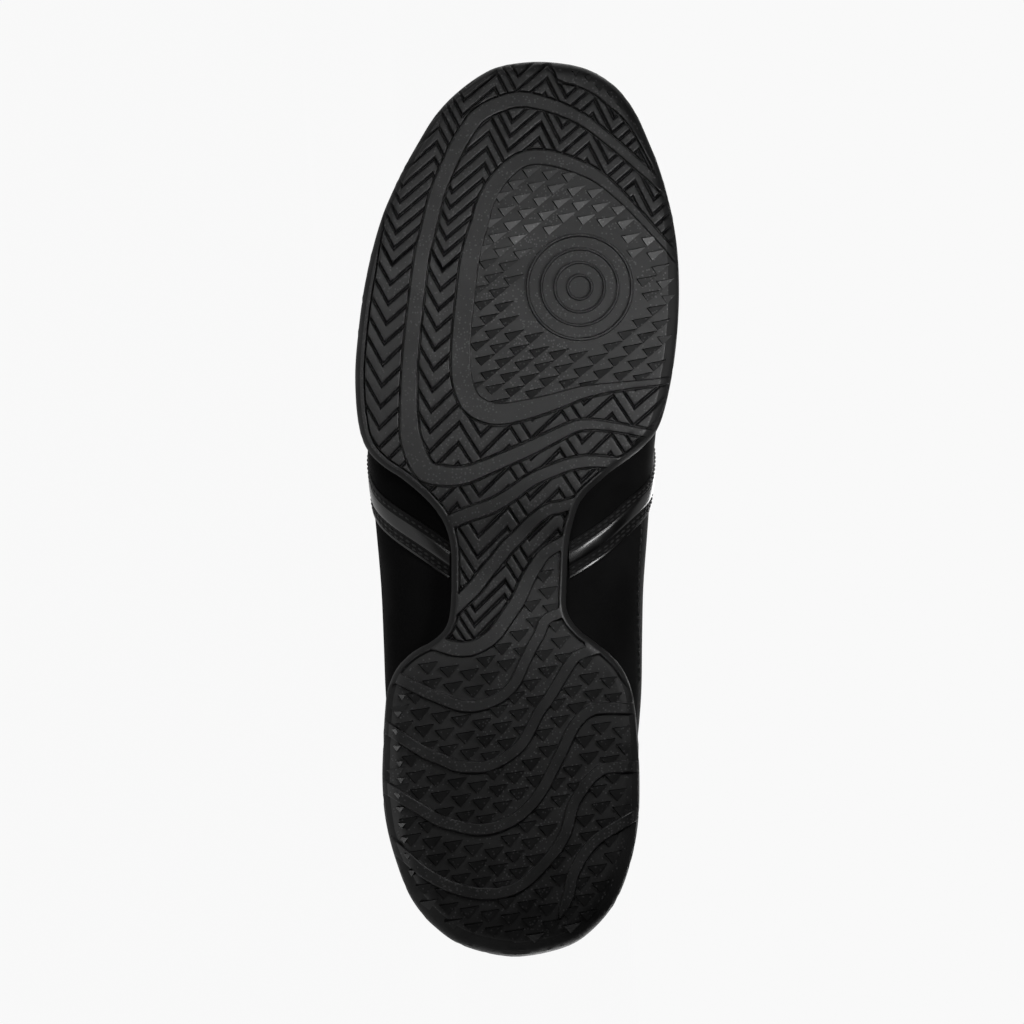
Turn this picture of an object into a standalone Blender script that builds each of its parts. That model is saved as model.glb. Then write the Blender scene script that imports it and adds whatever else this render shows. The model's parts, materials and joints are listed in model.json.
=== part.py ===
"""A right boxing shoe lying on its outer side, with its sole facing -Y.

Sizes in the tables are millimetres in the shoe's own frame: u runs from heel to toe,
v to the inner (medial) side of the foot, and w up from the ground that the sole would stand on.
"""
import math

import bmesh
import bpy
import numpy as np
from mathutils import Matrix, Vector

MM = 0.001
TINY = 1e-6

# Driving dimensions
LENGTH = 295.0            # outsole, heel to toe
WALL = 2.0                # thickness of the upper
GAP = 0.3                 # between curved pieces that meet
SPRING_START = 205.0      # where the sole starts to rise towards the toe
TOE_SPRING = 12.0         # height of the tread under the tip of the toe
HEEL_BEVEL = 22.0         # length of the lifted back edge of the heel
HEEL_LIFT = 3.0           # height of the tread at the very back
ARCH_FROM, ARCH_TO = 95.0, 160.0
ARCH_RISE = 2.0           # height of the tread under the waist
INSOLE_RISE = 6.5         # top of the insole over the upper's outer base
INSOLE_FROM, INSOLE_TO = 8.0, 283.0
INSOLE_BLANK_HALF = 70.0  # half-width and floor of the blank that the insole is cut from
INSOLE_BLANK_FLOOR = -20.0
TONGUE_THICK = 3.0
TONGUE_HALF = 29.0        # half of the tongue's width along the section
EYESTAY_WIDTH = 17.0      # along the section from the edge of the throat
EYESTAY_STEP = 0.8
COLLAR_STEP = 1.0
STEP_RUN = 0.6            # length of the slope at a step in the wall
WALL_COLUMNS = (0.0, 0.14, 0.26, 0.35, 0.43, 0.51, 0.60, 0.72, 0.86, 1.0)  # closer at the lower corner
INNER_GAP = 0.8           # from the wall to insole and tongue, on the tight side of its curves
STRIP_HALF = 6.2          # half of a saddle strip's width along the foot
STRIP_THICK = 1.0
EYELET_PAIRS = 6
EYELET_INSET = 9.0        # from the edge of the throat
EYELET_RADIUS = 3.6
EYELET_HOLE = 2.2
EYELET_THICK = 0.9
EYELET_CHAMFER = 0.3
EYELET_SIDES = 12
LACE_HALF = 3.0           # half of the lace's width along the throat
LACE_THICK = 1.4
LACE_PAST_EDGE = 4.2      # how far a bar lies on the eyestay

# How the shoe lies: degrees turned from lying square on its side, until the ball and heel of the
# sole and the collar all touch the floor
LIE_ROLL = -1.03
LIE_PITCH = 3.96

# Edge of the sole: place along the foot, and its reach to each side
EDGE_COLUMNS = ("u", "lateral", "medial")
SOLE_EDGE = (
    (3.0, 14.5, 17.0), (8.9, 24.4, 26.4), (18.8, 33.0, 34.3), (32.0, 38.4, 39.2), (45.0, 41.7, 41.5),
    (58.0, 42.8, 41.9), (72.0, 42.4, 41.4), (81.0, 41.9, 40.5), (88.0, 41.0, 39.2), (95.0, 38.0, 36.2),
    (100.2, 33.0, 31.6), (104.0, 26.4, 26.8), (108.4, 22.0, 21.4), (114.4, 20.4, 17.9), (124.3, 20.1, 17.9),
    (135.8, 20.4, 18.5), (144.0, 23.1, 20.2), (150.6, 28.3, 22.8), (157.2, 35.9, 29.3), (161.2, 42.0, 34.3),
    (165.5, 46.6, 40.2), (169.7, 49.1, 44.8), (174.4, 50.4, 48.1), (182.0, 51.4, 50.6), (193.5, 51.7, 52.9),
    (206.7, 50.6, 54.4), (220.0, 48.8, 54.9), (233.0, 46.0, 54.3), (246.0, 42.0, 52.2), (259.4, 35.8, 48.5),
    (269.3, 30.3, 44.6), (276.0, 26.2, 41.7), (281.0, 22.1, 38.8), (285.1, 17.8, 35.6), (288.4, 13.6, 32.0),
    (291.0, 9.6, 27.8), (293.0, 5.4, 23.2), (294.4, -1.0, 16.5),
)
HEEL_TIP_V = 1.0
TOE_TIP_V = 8.5

# Top of the sole's side along the foot
RIM_COLUMNS = ("u", "height")
SOLE_RIM = ((0.0, 19.0), (40.0, 17.0), (90.0, 15.0), (130.0, 14.0), (180.0, 14.0), (230.0, 15.5),
            (265.0, 19.0), (285.0, 25.0), (295.0, 28.0))

# Radius between the tread and the side of the sole along the foot
ROUND_COLUMNS = ("u", "radius")
EDGE_ROUNDS = ((0.0, 7.0), (60.0, 6.0), (92.0, 4.0), (108.0, 2.5), (150.0, 2.5), (166.0, 4.0),
               (200.0, 4.0), (250.0, 3.5), (295.0, 3.5))

# Sections of the upper from the tip of the toe to past the collar. A section lies in the plane
# through its top point, its base point and the v direction. Its widths are at the belly, a share
# of the way up, with a power for the curve below and above it. Slot and throat are half-widths
# of the openings underneath and on top, along the section.
SECTION_COLUMNS = ("top_u", "top_w", "base_u", "base_w", "lateral", "medial", "belly", "low", "high",
                   "slot", "throat")
SECTIONS = (
    (291.6, 24.4, 291.6, 24.4, -9.4, 9.4, 0.45, 2.2, 2.0, 0.0, 0.0),
    (290.6, 31.5, 291.0, 18.8, 2.2, 19.2, 0.45, 2.3, 2.0, 0.0, 0.0),
    (287.4, 38.0, 288.2, 15.4, 8.6, 27.0, 0.42, 2.6, 2.0, 0.0, 0.0),
    (281.4, 45.0, 282.6, 12.6, 17.0, 34.4, 0.38, 3.0, 2.1, 0.0, 0.0),
    (272.4, 50.6, 273.0, 10.2, 25.0, 40.2, 0.36, 3.4, 2.2, 0.0, 0.0),
    (260.4, 55.2, 260.4, 8.6, 32.0, 45.2, 0.34, 3.8, 2.2, 12.0, 0.0),
    (245.0, 59.8, 245.0, 7.4, 39.4, 49.4, 0.33, 4.0, 2.2, 20.0, 0.0),
    (226.0, 65.6, 226.0, 6.8, 44.8, 52.0, 0.32, 4.2, 2.2, 24.0, 0.0),
    (207.0, 73.0, 207.0, 6.6, 47.8, 51.4, 0.31, 4.2, 2.15, 24.0, 0.0),
    (189.0, 81.6, 189.0, 6.6, 48.8, 49.2, 0.31, 3.9, 2.1, 20.0, 5.0),
    (172.0, 90.6, 172.0, 6.9, 48.3, 47.4, 0.31, 3.3, 2.1, 14.0, 10.0),
    (156.0, 99.4, 154.0, 7.6, 46.4, 45.8, 0.31, 2.8, 2.1, 9.0, 12.0),
    (143.0, 107.0, 136.0, 8.2, 44.8, 44.6, 0.31, 2.6, 2.1, 7.0, 13.0),
    (133.0, 113.6, 117.0, 8.6, 43.4, 43.4, 0.30, 2.8, 2.1, 8.0, 14.0),
    (125.4, 119.4, 97.0, 8.8, 42.6, 43.0, 0.29, 3.4, 2.1, 14.0, 14.6),
    (119.6, 124.6, 77.0, 8.8, 41.9, 42.7, 0.28, 3.9, 2.1, 20.0, 15.0),
    (115.4, 129.2, 57.0, 8.8, 40.4, 41.2, 0.28, 4.0, 2.1, 22.0, 15.2),
    (112.2, 133.6, 37.0, 8.9, 39.4, 39.2, 0.29, 3.5, 2.1, 18.0, 15.4),
    (109.8, 137.8, 16.6, 9.6, 38.9, 38.7, 0.31, 2.7, 2.1, 0.0, 15.6),
    (107.9, 141.8, 4.0, 18.0, 38.4, 38.2, 0.34, 2.25, 2.1, 0.0, 15.8),
    (106.4, 145.6, 1.8, 35.0, 37.7, 37.5, 0.38, 2.1, 2.1, 0.0, 16.0),
    (105.2, 149.2, 4.6, 56.0, 37.0, 36.8, 0.42, 2.1, 2.1, 0.0, 16.2),
    (104.2, 152.8, 8.4, 78.0, 36.6, 36.4, 0.46, 2.1, 2.1, 0.0, 16.4),
    (103.4, 156.4, 11.0, 100.0, 36.6, 36.4, 0.48, 2.1, 2.1, 0.0, 16.6),
    (102.8, 160.2, 11.0, 122.0, 37.0, 36.8, 0.50, 2.1, 2.1, 0.0, 16.8),
    (102.4, 164.2, 8.6, 143.0, 37.8, 37.6, 0.50, 2.1, 2.1, 0.0, 17.0),
    (102.2, 168.2, 5.6, 160.0, 38.6, 38.4, 0.50, 2.1, 2.1, 0.0, 17.2),
    (102.2, 178.0, 4.0, 170.0, 39.0, 38.8, 0.50, 2.1, 2.1, 0.0, 17.4),
)
QUARTER_POINTS = 61       # points on a quarter of a section
BASE_ROWS = 20            # rows of the table whose base lies under the foot
VAMP_POINT = 8.45         # stations, as rows of the table: where the throat starts
COLLAR = 26.0             # the upper's rim
COLLAR_BAND_START = 24.6
TONGUE_START = 7.6
TONGUE_END = 26.7

# Where a saddle strip runs: station of its middle, and its share of the way from base to top
STRIP_LATERAL = ((12.3, 0.140), (11.9, 0.21), (11.38, 0.325), (10.85, 0.44), (10.2, 0.60), (9.75, 0.74))
STRIP_MEDIAL = ((12.3, 0.126), (11.92, 0.20), (11.4, 0.29), (10.95, 0.40), (10.3, 0.56), (9.65, 0.74))

RUBBER = (0.034, 0.034, 0.035)
SUEDE = (0.006, 0.006, 0.006)
GLOSS = (0.010, 0.010, 0.010)
CLOTH = (0.012, 0.012, 0.012)
METAL = (0.020, 0.020, 0.021)


def clear_scene():
    for item in list(bpy.data.objects):
        bpy.data.objects.remove(item, do_unlink=True)


def plain_material(name, colour, roughness, metallic=0.0):
    material = bpy.data.materials.new(name)
    material.use_nodes = True
    shader = material.node_tree.nodes["Principled BSDF"]
    shader.inputs["Base Color"].default_value = (*colour, 1.0)
    shader.inputs["Roughness"].default_value = roughness
    shader.inputs["Metallic"].default_value = metallic
    return material


def smooth_rows(rows, at):
    """Reads a table of rows at fractional row numbers, with a smooth curve through the rows."""
    rows = np.asarray(rows, float)
    at = np.clip(np.asarray(at, float), 0.0, len(rows) - 1.0)
    first = np.minimum(at.astype(int), len(rows) - 2)
    share = (at - first)[..., None]
    before = rows[np.maximum(first - 1, 0)]
    here = rows[first]
    there = rows[first + 1]
    after = rows[np.minimum(first + 2, len(rows) - 1)]
    linear = (there - before) * share
    square = (2 * before - 5 * here + 4 * there - after) * share ** 2
    cube = (3 * here - before - 3 * there + after) * share ** 3
    return 0.5 * (2 * here + linear + square + cube)


def column(table, columns, name):
    return np.array([row[columns.index(name)] for row in table], float)


def along_foot(table, columns, u):
    """Reads a table of places along the foot and one value between its rows."""
    return np.interp(u, column(table, columns, "u"), column(table, columns, columns[1]))


def section_values(station):
    values = smooth_rows(SECTIONS, station)
    return dict(zip(SECTION_COLUMNS, values))


def section_curve(station, side):
    """Points of one half of a section, from its base to its top, with their lengths along it."""
    size = section_values(station)
    quarter = np.linspace(0.0, math.pi / 2, QUARTER_POINTS)
    low_width = np.sin(quarter) ** (2 / size["low"])
    low_height = size["belly"] * (1 - np.cos(quarter) ** (2 / size["low"]))
    high_width = np.cos(quarter[1:]) ** (2 / size["high"])
    high_height = size["belly"] + (1 - size["belly"]) * np.sin(quarter[1:]) ** (2 / size["high"])
    width = np.concatenate((low_width, high_width))
    height = np.concatenate((low_height, high_height))
    middle = (size["medial"] - size["lateral"]) / 2
    reach = (size["medial"] + size["lateral"]) / 2
    u = size["base_u"] + (size["top_u"] - size["base_u"]) * height
    w = size["base_w"] + (size["top_w"] - size["base_w"]) * height
    points = np.stack((u, middle + side * reach * width, w), axis=1)
    steps = np.linalg.norm(np.diff(points, axis=0), axis=1)
    return points, np.concatenate(([0.0], np.cumsum(steps)))


def surface_point(station, side, share):
    """A point of the upper's outer form, at a share of the section's length from base to top."""
    points, lengths = section_curve(station, side)
    along = share * lengths[-1]
    return np.array([np.interp(along, lengths, points[:, axis]) for axis in range(3)])


def form_point(station, side, share, lift=0.0):
    """A point lifted off the outer form along its outward normal."""
    here = surface_point(station, side, share)
    if lift == 0.0:
        return here
    station_step = 0.04
    share_step = 0.004
    ahead = surface_point(max(station - station_step, 0.0), side, share)
    behind = surface_point(min(station + station_step, len(SECTIONS) - 1.0), side, share)
    lower = surface_point(station, side, max(share - share_step, 0.0))
    upper = surface_point(station, side, min(share + share_step, 1.0))
    if share + share_step > 1.0:
        upper = surface_point(station, -side, 2.0 - share - share_step)
    if share - share_step < 0.0:
        lower = surface_point(station, -side, share_step - share)
    normal = np.cross(upper - lower, ahead - behind) * side
    size = np.linalg.norm(normal)
    at_tip = size < TINY
    return here + lift * (np.array((1.0, 0.0, 0.0)) if at_tip else normal / size)


def opening_shares(station, side):
    """Shares of the section's length where the slot underneath ends and the throat begins."""
    size = section_values(station)
    length = max(section_curve(station, side)[1][-1], TINY)
    slot = max(size["slot"], 0.0)
    throat = max(size["throat"], 0.0) if station > VAMP_POINT else 0.0
    return slot / length, 1.0 - throat / length, length


def new_object(name, vertices, faces, material, parent):
    mesh = bpy.data.meshes.new(name)
    mesh.from_pydata([tuple(np.asarray(v) * MM) for v in vertices], [], faces)
    work = bmesh.new()
    work.from_mesh(mesh)
    bmesh.ops.remove_doubles(work, verts=work.verts, dist=0.02 * MM)
    bmesh.ops.dissolve_degenerate(work, edges=work.edges, dist=0.01 * MM)
    bmesh.ops.recalc_face_normals(work, faces=work.faces)
    if work.calc_volume(signed=True) < 0:
        bmesh.ops.reverse_faces(work, faces=work.faces)
    work.to_mesh(mesh)
    work.free()
    item = bpy.data.objects.new(name, mesh)
    bpy.context.collection.objects.link(item)
    if material is not None:
        mesh.materials.append(material)
    item.parent = parent
    return item


def grid_faces(rows, columns, start=0):
    faces = []
    for row in range(rows - 1):
        for place in range(columns - 1):
            first = start + row * columns + place
            faces.append((first, first + 1, first + columns + 1, first + columns))
    return faces


def slab(outer, inner):
    """Vertices and faces of a closed slab between two grids of points with the same layout."""
    rows, columns = outer.shape[:2]
    count = rows * columns
    vertices = np.concatenate((outer.reshape(-1, 3), inner.reshape(-1, 3)))
    faces = grid_faces(rows, columns)
    faces += [tuple(reversed(face)) for face in grid_faces(rows, columns, count)]
    border = [place for place in range(columns)]
    border += [row * columns + columns - 1 for row in range(1, rows)]
    border += [(rows - 1) * columns + place for place in range(columns - 2, -1, -1)]
    border += [row * columns for row in range(rows - 2, 0, -1)]
    for here, there in zip(border, border[1:] + border[:1]):
        faces.append((there, here, here + count, there + count))
    return vertices, faces


def upper_stations():
    toe = np.arange(0.0, 8.1, 0.5)
    throat = (VAMP_POINT, 8.7, 9.1, 9.5)
    back = np.arange(10.0, 20.1, 0.5)
    shaft = (20.6, 21.2, 21.8, 22.4, 23.0, 23.8)
    rim = (COLLAR_BAND_START, COLLAR_BAND_START + 0.06, 25.3, COLLAR)
    return np.concatenate((toe, throat, back, shaft, rim))


def wall_shares(station, side):
    """Shares of the section's length where the wall's columns lie, from slot to throat."""
    slot, throat, length = opening_shares(station, side)
    edge = throat - min(EYESTAY_WIDTH / length, 0.2)
    step = min(STEP_RUN / length, 0.01)
    return list(slot + (edge - step - slot) * np.array(WALL_COLUMNS)) + [edge, (edge + throat) / 2, throat]


def upper_half(side):
    """Grid of the outer wall on one side: a row for each station, columns from slot to throat."""
    grid = []
    for station in upper_stations():
        raised = EYESTAY_STEP * min(max((station - VAMP_POINT) * 4.0, 0.0), 1.0)
        band = COLLAR_STEP if station > COLLAR_BAND_START else 0.0
        lifts = [band] * len(WALL_COLUMNS) + [max(raised, band)] * 3
        shares = wall_shares(station, side)
        grid.append([form_point(station, side, share, lift) for share, lift in zip(shares, lifts)])
    return np.array(grid)


def half_faces(rows, columns, start, side):
    """Triangles of one side's grid, cut along the same diagonal on the upper and on its cutters."""
    faces = []
    for first, second, third, fourth in grid_faces(rows, columns, start):
        pair = [(first, second, third), (first, third, fourth)]
        faces += pair if side > 0 else [tuple(reversed(face)) for face in pair]
    return faces


def make_upper(material, parent):
    vertices = []
    faces = []
    for side in (-1, 1):
        half = upper_half(side)
        faces += half_faces(*half.shape[:2], len(vertices), side)
        vertices += list(half.reshape(-1, 3))
    upper = new_object("upper", vertices, faces, material, parent)
    wall = upper.modifiers.new("wall", "SOLIDIFY")
    wall.thickness = WALL * MM
    wall.offset = -1.0
    wall.use_even_offset = True
    return upper


def closed_form(name, lift, first, parent):
    """The upper's form as one filled solid, lifted off or drawn in, to cut other pieces with."""
    stations = [station for station in upper_stations() if station >= first]
    vertices = []
    faces = []
    ends = []
    for side in (-1, 1):
        start = len(vertices)
        for station in stations:
            shares = wall_shares(station, side)
            shares = [0.0, 0.5 * shares[0]] + shares + [1.0]
            vertices += [form_point(station, side, share, lift) for share in shares]
        columns = len(shares)
        faces += half_faces(len(stations), columns, start, side)
        last = len(vertices) - columns
        ends.append((list(range(start, start + columns)), list(range(last, last + columns))))
    for lateral, medial in zip(*ends):
        faces.append(tuple(lateral + medial[-2:0:-1]))
    form = new_object(name, vertices, faces, None, parent)
    form.hide_render = True
    form.display_type = "WIRE"
    return form


def closed_curve(points, steps):
    """A smooth closed curve through a ring of points."""
    points = np.asarray(points, float)
    ring = np.concatenate((points[-1:], points, points[:2]))
    return smooth_rows(ring, np.arange(1, len(points) + 1, 1 / steps))


def sole_outline(steps=6):
    u = column(SOLE_EDGE, EDGE_COLUMNS, "u")
    medial = np.stack((u, column(SOLE_EDGE, EDGE_COLUMNS, "medial")), axis=1)
    lateral = np.stack((u, -column(SOLE_EDGE, EDGE_COLUMNS, "lateral")), axis=1)
    ring = np.concatenate(([(0.0, HEEL_TIP_V)], medial, [(LENGTH, TOE_TIP_V)], lateral[::-1]))
    return closed_curve(ring, steps)


def edge_distance(points, outline):
    """Distance of each (u, v) point from the sole's outline."""
    start = outline
    run = np.roll(outline, -1, axis=0) - outline
    length = np.maximum((run ** 2).sum(axis=1), TINY)
    offset = points[:, None, :] - start[None]
    share = np.clip((offset * run[None]).sum(axis=2) / length[None], 0.0, 1.0)
    return np.linalg.norm(offset - share[..., None] * run[None], axis=2).min(axis=1)


def ground_line(u):
    """Height of the tread along the middle of the foot."""
    spring = TOE_SPRING * np.clip((u - SPRING_START) / (LENGTH - SPRING_START), 0.0, 1.0) ** 2.2
    heel = HEEL_LIFT * np.clip(1.0 - u / HEEL_BEVEL, 0.0, 1.0) ** 2
    across = np.clip((u - ARCH_FROM) / (ARCH_TO - ARCH_FROM), 0.0, 1.0)
    return spring + heel + ARCH_RISE * np.sin(math.pi * across) ** 2


def rounding(distance, u):
    """Rise of the rounded edge at a distance in from the outline."""
    radius = along_foot(EDGE_ROUNDS, ROUND_COLUMNS, u)
    inward = np.clip(distance / radius, 0.0, 1.0)
    return radius * (1.0 - np.sqrt(np.clip(1.0 - (1.0 - inward) ** 2, 0.0, 1.0)))


def outsole_stations():
    heel = np.array((0.15, 1.2, 3.4, 7.0, 12.0, 19.0, 27.0))
    middle = np.array((36.0, 47.0, 59.0, 71.0, 81.0, 88.0, 94.0, 99.0, 103.0, 107.0, 112.0, 119.0, 127.0,
                       135.0, 142.0, 148.0, 153.0, 158.0, 162.0, 166.0, 170.0, 175.0, 183.0, 194.0, 206.0,
                       218.0))
    toe = np.array((230.0, 241.0, 251.0, 260.0, 268.0, 275.0, 281.0, 286.0, 290.0, 293.0, 294.4, 294.9))
    return np.concatenate((heel, middle, toe))


def side_reach(u, outline, side):
    """Where the outline crosses a station on one side of the foot."""
    turn = int(np.argmax(outline[:, 0]))
    heel = int(np.argmin(outline[:, 0]))
    ring = np.roll(outline, -heel, axis=0)
    turn = (turn - heel) % len(outline)
    half = ring[:turn + 1] if side > 0 else np.concatenate((ring[turn:], ring[:1]))[::-1]
    return np.interp(u, half[:, 0], half[:, 1])


def make_outsole(material, parent, outer_form):
    outline = sole_outline()
    shares = np.array((0.0, 0.02, 0.06, 0.12, 0.2, 0.34, 0.5, 0.66, 0.8, 0.88, 0.94, 0.98, 1.0))
    bottom = []
    top = []
    for u in outsole_stations():
        lateral = side_reach(u, outline, -1)
        medial = side_reach(u, outline, 1)
        v = lateral + (medial - lateral) * shares
        distance = edge_distance(np.stack((np.full_like(v, u), v), axis=1), outline)
        distance[[0, -1]] = 0.0
        low = ground_line(u) + rounding(distance, u)
        rim = along_foot(SOLE_RIM, RIM_COLUMNS, u)
        bottom.append(np.stack((np.full_like(v, u), v, low), axis=1))
        top.append(np.stack((np.full_like(v, u), v, np.full_like(v, rim)), axis=1))
    vertices, faces = slab(np.array(top), np.array(bottom))
    outsole = new_object("outsole", vertices, faces, material, parent)
    cup = outsole.modifiers.new("cup", "BOOLEAN")
    cup.object = outer_form
    cup.operation = "DIFFERENCE"
    cup.solver = "EXACT"
    return outsole


def make_insole(material, parent, inner_form):
    """A board with a flat top, cut to the inside of the upper."""
    stations = np.linspace(INSOLE_FROM, INSOLE_TO, 40)
    base_u = column(SECTIONS, SECTION_COLUMNS, "base_u")[:BASE_ROWS][::-1]
    base_w = column(SECTIONS, SECTION_COLUMNS, "base_w")[:BASE_ROWS][::-1]
    reach = (-INSOLE_BLANK_HALF, INSOLE_BLANK_HALF)
    top = []
    bottom = []
    for u in stations:
        level = np.interp(u, base_u, base_w) + INSOLE_RISE
        top.append([(u, v, level) for v in reach])
        bottom.append([(u, v, INSOLE_BLANK_FLOOR) for v in reach])
    vertices, faces = slab(np.array(top), np.array(bottom))
    insole = new_object("insole", vertices, faces, material, parent)
    fit = insole.modifiers.new("fit", "BOOLEAN")
    fit.object = inner_form
    fit.operation = "INTERSECT"
    fit.solver = "EXACT"
    return insole


def across_top(station, reach, lift):
    """A point at a distance to one side of the section's top, along the section."""
    side = 1 if reach >= 0 else -1
    length = section_curve(station, side)[1][-1]
    return form_point(station, side, 1.0 - abs(reach) / length, lift)


def make_tongue(material, parent):
    stations = np.linspace(TONGUE_START, TONGUE_END, 24)
    reaches = np.linspace(-1.0, 1.0, 9)
    top_lift = -(WALL + INNER_GAP)
    outer = []
    inner = []
    for station in stations:
        half = TONGUE_HALF * min(1.0, 0.6 + 0.25 * (station - TONGUE_START))
        outer.append([across_top(station, half * reach, top_lift) for reach in reaches])
        inner.append([across_top(station, half * reach, top_lift - TONGUE_THICK) for reach in reaches])
    vertices, faces = slab(np.array(outer), np.array(inner))
    return new_object("tongue", vertices, faces, material, parent)


def make_strip(name, side, route, material, parent):
    """A saddle strip: a band of the upper's own form between two lifts."""
    places = np.linspace(0.0, len(route) - 1.0, 16)
    centre = smooth_rows(route, places)
    widths = np.linspace(-1.0, 1.0, 4)
    outer = []
    inner = []
    for station, share in centre:
        ahead = section_values(max(station - 0.5, 0.0))["base_u"]
        behind = section_values(station + 0.5)["base_u"]
        per_mm = 1.0 / (ahead - behind)
        spots = [station - STRIP_HALF * width * per_mm for width in widths]
        outer.append([form_point(spot, side, share, GAP + STRIP_THICK) for spot in spots])
        inner.append([form_point(spot, side, share, GAP) for spot in spots])
    vertices, faces = slab(np.array(outer), np.array(inner))
    return new_object(name, vertices, faces, material, parent)


def eyelet_stations():
    """Stations of the eyelet pairs, evenly spaced along the top of the throat."""
    stations = np.linspace(VAMP_POINT + 0.6, COLLAR - 1.6, 200)
    tops = np.array([surface_point(station, 1, 1.0) for station in stations])
    lengths = np.concatenate(([0.0], np.cumsum(np.linalg.norm(np.diff(tops, axis=0), axis=1))))
    return np.interp(np.linspace(0.0, lengths[-1], EYELET_PAIRS), lengths, stations)


def eyelet_frame(station, side):
    """Centre of an eyelet on the eyestay, and two directions along the surface there."""
    _, throat, length = opening_shares(station, side)
    share = throat - EYELET_INSET / length
    centre = form_point(station, side, share, EYESTAY_STEP + GAP)
    normal = form_point(station, side, share, EYESTAY_STEP + GAP + 1.0) - centre
    along = form_point(station + 0.1, side, share, EYESTAY_STEP + GAP) - centre
    along -= normal * np.dot(along, normal)
    along /= np.linalg.norm(along)
    return centre, normal, along, np.cross(normal, along)


def make_eyelet(name, station, side, material, parent):
    """A plain flat ring lying on the eyestay."""
    centre, normal, along, across = eyelet_frame(station, side)
    profile = ((EYELET_HOLE, 0.0), (EYELET_RADIUS, 0.0), (EYELET_RADIUS - EYELET_CHAMFER, EYELET_THICK),
               (EYELET_HOLE + EYELET_CHAMFER, EYELET_THICK))
    vertices = []
    for turn in range(EYELET_SIDES):
        angle = 2 * math.pi * turn / EYELET_SIDES
        out = along * math.cos(angle) + across * math.sin(angle)
        vertices += [centre + out * radius + normal * height for radius, height in profile]
    faces = []
    for turn in range(EYELET_SIDES):
        first = turn * len(profile)
        second = (turn + 1) % EYELET_SIDES * len(profile)
        for place in range(len(profile)):
            following = (place + 1) % len(profile)
            faces.append((first + place, first + following, second + following, second + place))
    return new_object(name, vertices, faces, material, parent)


def lace_bars(half):
    """Faces of one crossing as (row, across) corners: four bars, the crossing, in a unit cell."""
    faces = [((0.5 - half, 0.0), (0.5, 2 * half), (0.5 + half, 0.0), (0.5, -2 * half))]
    steps = np.linspace(0.0, 1.0, 4)
    below = [(0.0, -1.0)] + [((0.5 - half) * step, (1 - step) * (2 * half - 1)) for step in steps]
    above = [(half, -1.0)] + [(2 * half + (0.5 - 2 * half) * step, -1 + 2 * half + (1 - 4 * half) * step)
                              for step in steps]
    strip = zip(below, below[1:], above[1:], above)
    for corners in list(strip):
        for side in (1, -1):
            faces.append(tuple((row, side * across) for row, across in corners))
            faces.append(tuple((1 - row, side * across) for row, across in corners))
    return faces


def make_lace(material, parent):
    """Criss-cross bars over the throat between rows of eyelets, joined where they cross and turn."""
    stations = eyelet_stations()
    tops = np.array([surface_point(station, 1, 1.0) for station in stations])
    half = LACE_HALF / np.linalg.norm(np.diff(tops, axis=0), axis=1).mean()
    cells = [[(row + cell, across) for row, across in face]
             for cell in range(len(stations) - 1) for face in lace_bars(half)]
    marks = {}
    corners = [[marks.setdefault((round(row, 4), round(across, 4)), len(marks)) for row, across in face]
               for face in cells]
    vertices = []
    for lift in (EYESTAY_STEP + GAP, EYESTAY_STEP + GAP + LACE_THICK):
        for row, across in marks:
            station = float(np.interp(row, np.arange(len(stations)), stations))
            reach = across * (section_values(station)["throat"] + LACE_PAST_EDGE)
            vertices.append(across_top(station, reach, lift))
    count = len(marks)
    faces = [tuple(reversed(face)) for face in corners]
    faces += [tuple(place + count for place in face) for face in corners]
    edges = [tuple(sorted(pair)) for face in corners for pair in zip(face, face[1:] + face[:1])]
    for here, there in set(edges):
        if edges.count((here, there)) == 1:
            faces.append((here, there, there + count, here + count))
    return new_object("lace", vertices, faces, material, parent)


def lie_down(empty, pieces):
    """Turns the shoe onto its outer side and sets the middle of its underside on the origin."""
    on_side = Matrix(((-1, 0, 0), (0, 0, 1), (0, 1, 0)))
    roll = Matrix.Rotation(math.radians(LIE_ROLL), 3, "X")
    pitch = Matrix.Rotation(math.radians(LIE_PITCH), 3, "Y")
    turn = pitch @ roll @ on_side
    graph = bpy.context.evaluated_depsgraph_get()
    meshes = [piece.evaluated_get(graph).data for piece in pieces]
    points = np.array([turn @ vertex.co for mesh in meshes for vertex in mesh.vertices])
    low = points.min(axis=0)
    high = points.max(axis=0)
    shift = Vector((-(low[0] + high[0]) / 2, -(low[1] + high[1]) / 2, -low[2]))
    empty.matrix_world = Matrix.Translation(shift) @ turn.to_4x4()


def main():
    clear_scene()
    shoe = bpy.data.objects.new("shoe", None)
    bpy.context.collection.objects.link(shoe)
    rubber = plain_material("rubber", RUBBER, 0.5)
    suede = plain_material("suede", SUEDE, 0.9)
    gloss = plain_material("gloss", GLOSS, 0.25)
    cloth = plain_material("cloth", CLOTH, 0.9)
    metal = plain_material("metal", METAL, 0.35, 0.9)
    outer_form = closed_form("outer_form", GAP, 0.0, shoe)
    inner_form = closed_form("inner_form", -(WALL + INNER_GAP), 1.0, shoe)
    pieces = [
        make_outsole(rubber, shoe, outer_form),
        make_upper(suede, shoe),
        make_insole(cloth, shoe, inner_form),
        make_tongue(cloth, shoe),
        make_strip("saddle_strip_lateral", -1, STRIP_LATERAL, gloss, shoe),
        make_strip("saddle_strip_medial", 1, STRIP_MEDIAL, gloss, shoe),
    ]
    for pair, station in enumerate(eyelet_stations(), 1):
        pieces.append(make_eyelet(f"eyelet_lateral_{pair}", station, -1, metal, shoe))
        pieces.append(make_eyelet(f"eyelet_medial_{pair}", station, 1, metal, shoe))
    pieces.append(make_lace(cloth, shoe))
    lie_down(shoe, pieces)


main()
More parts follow.
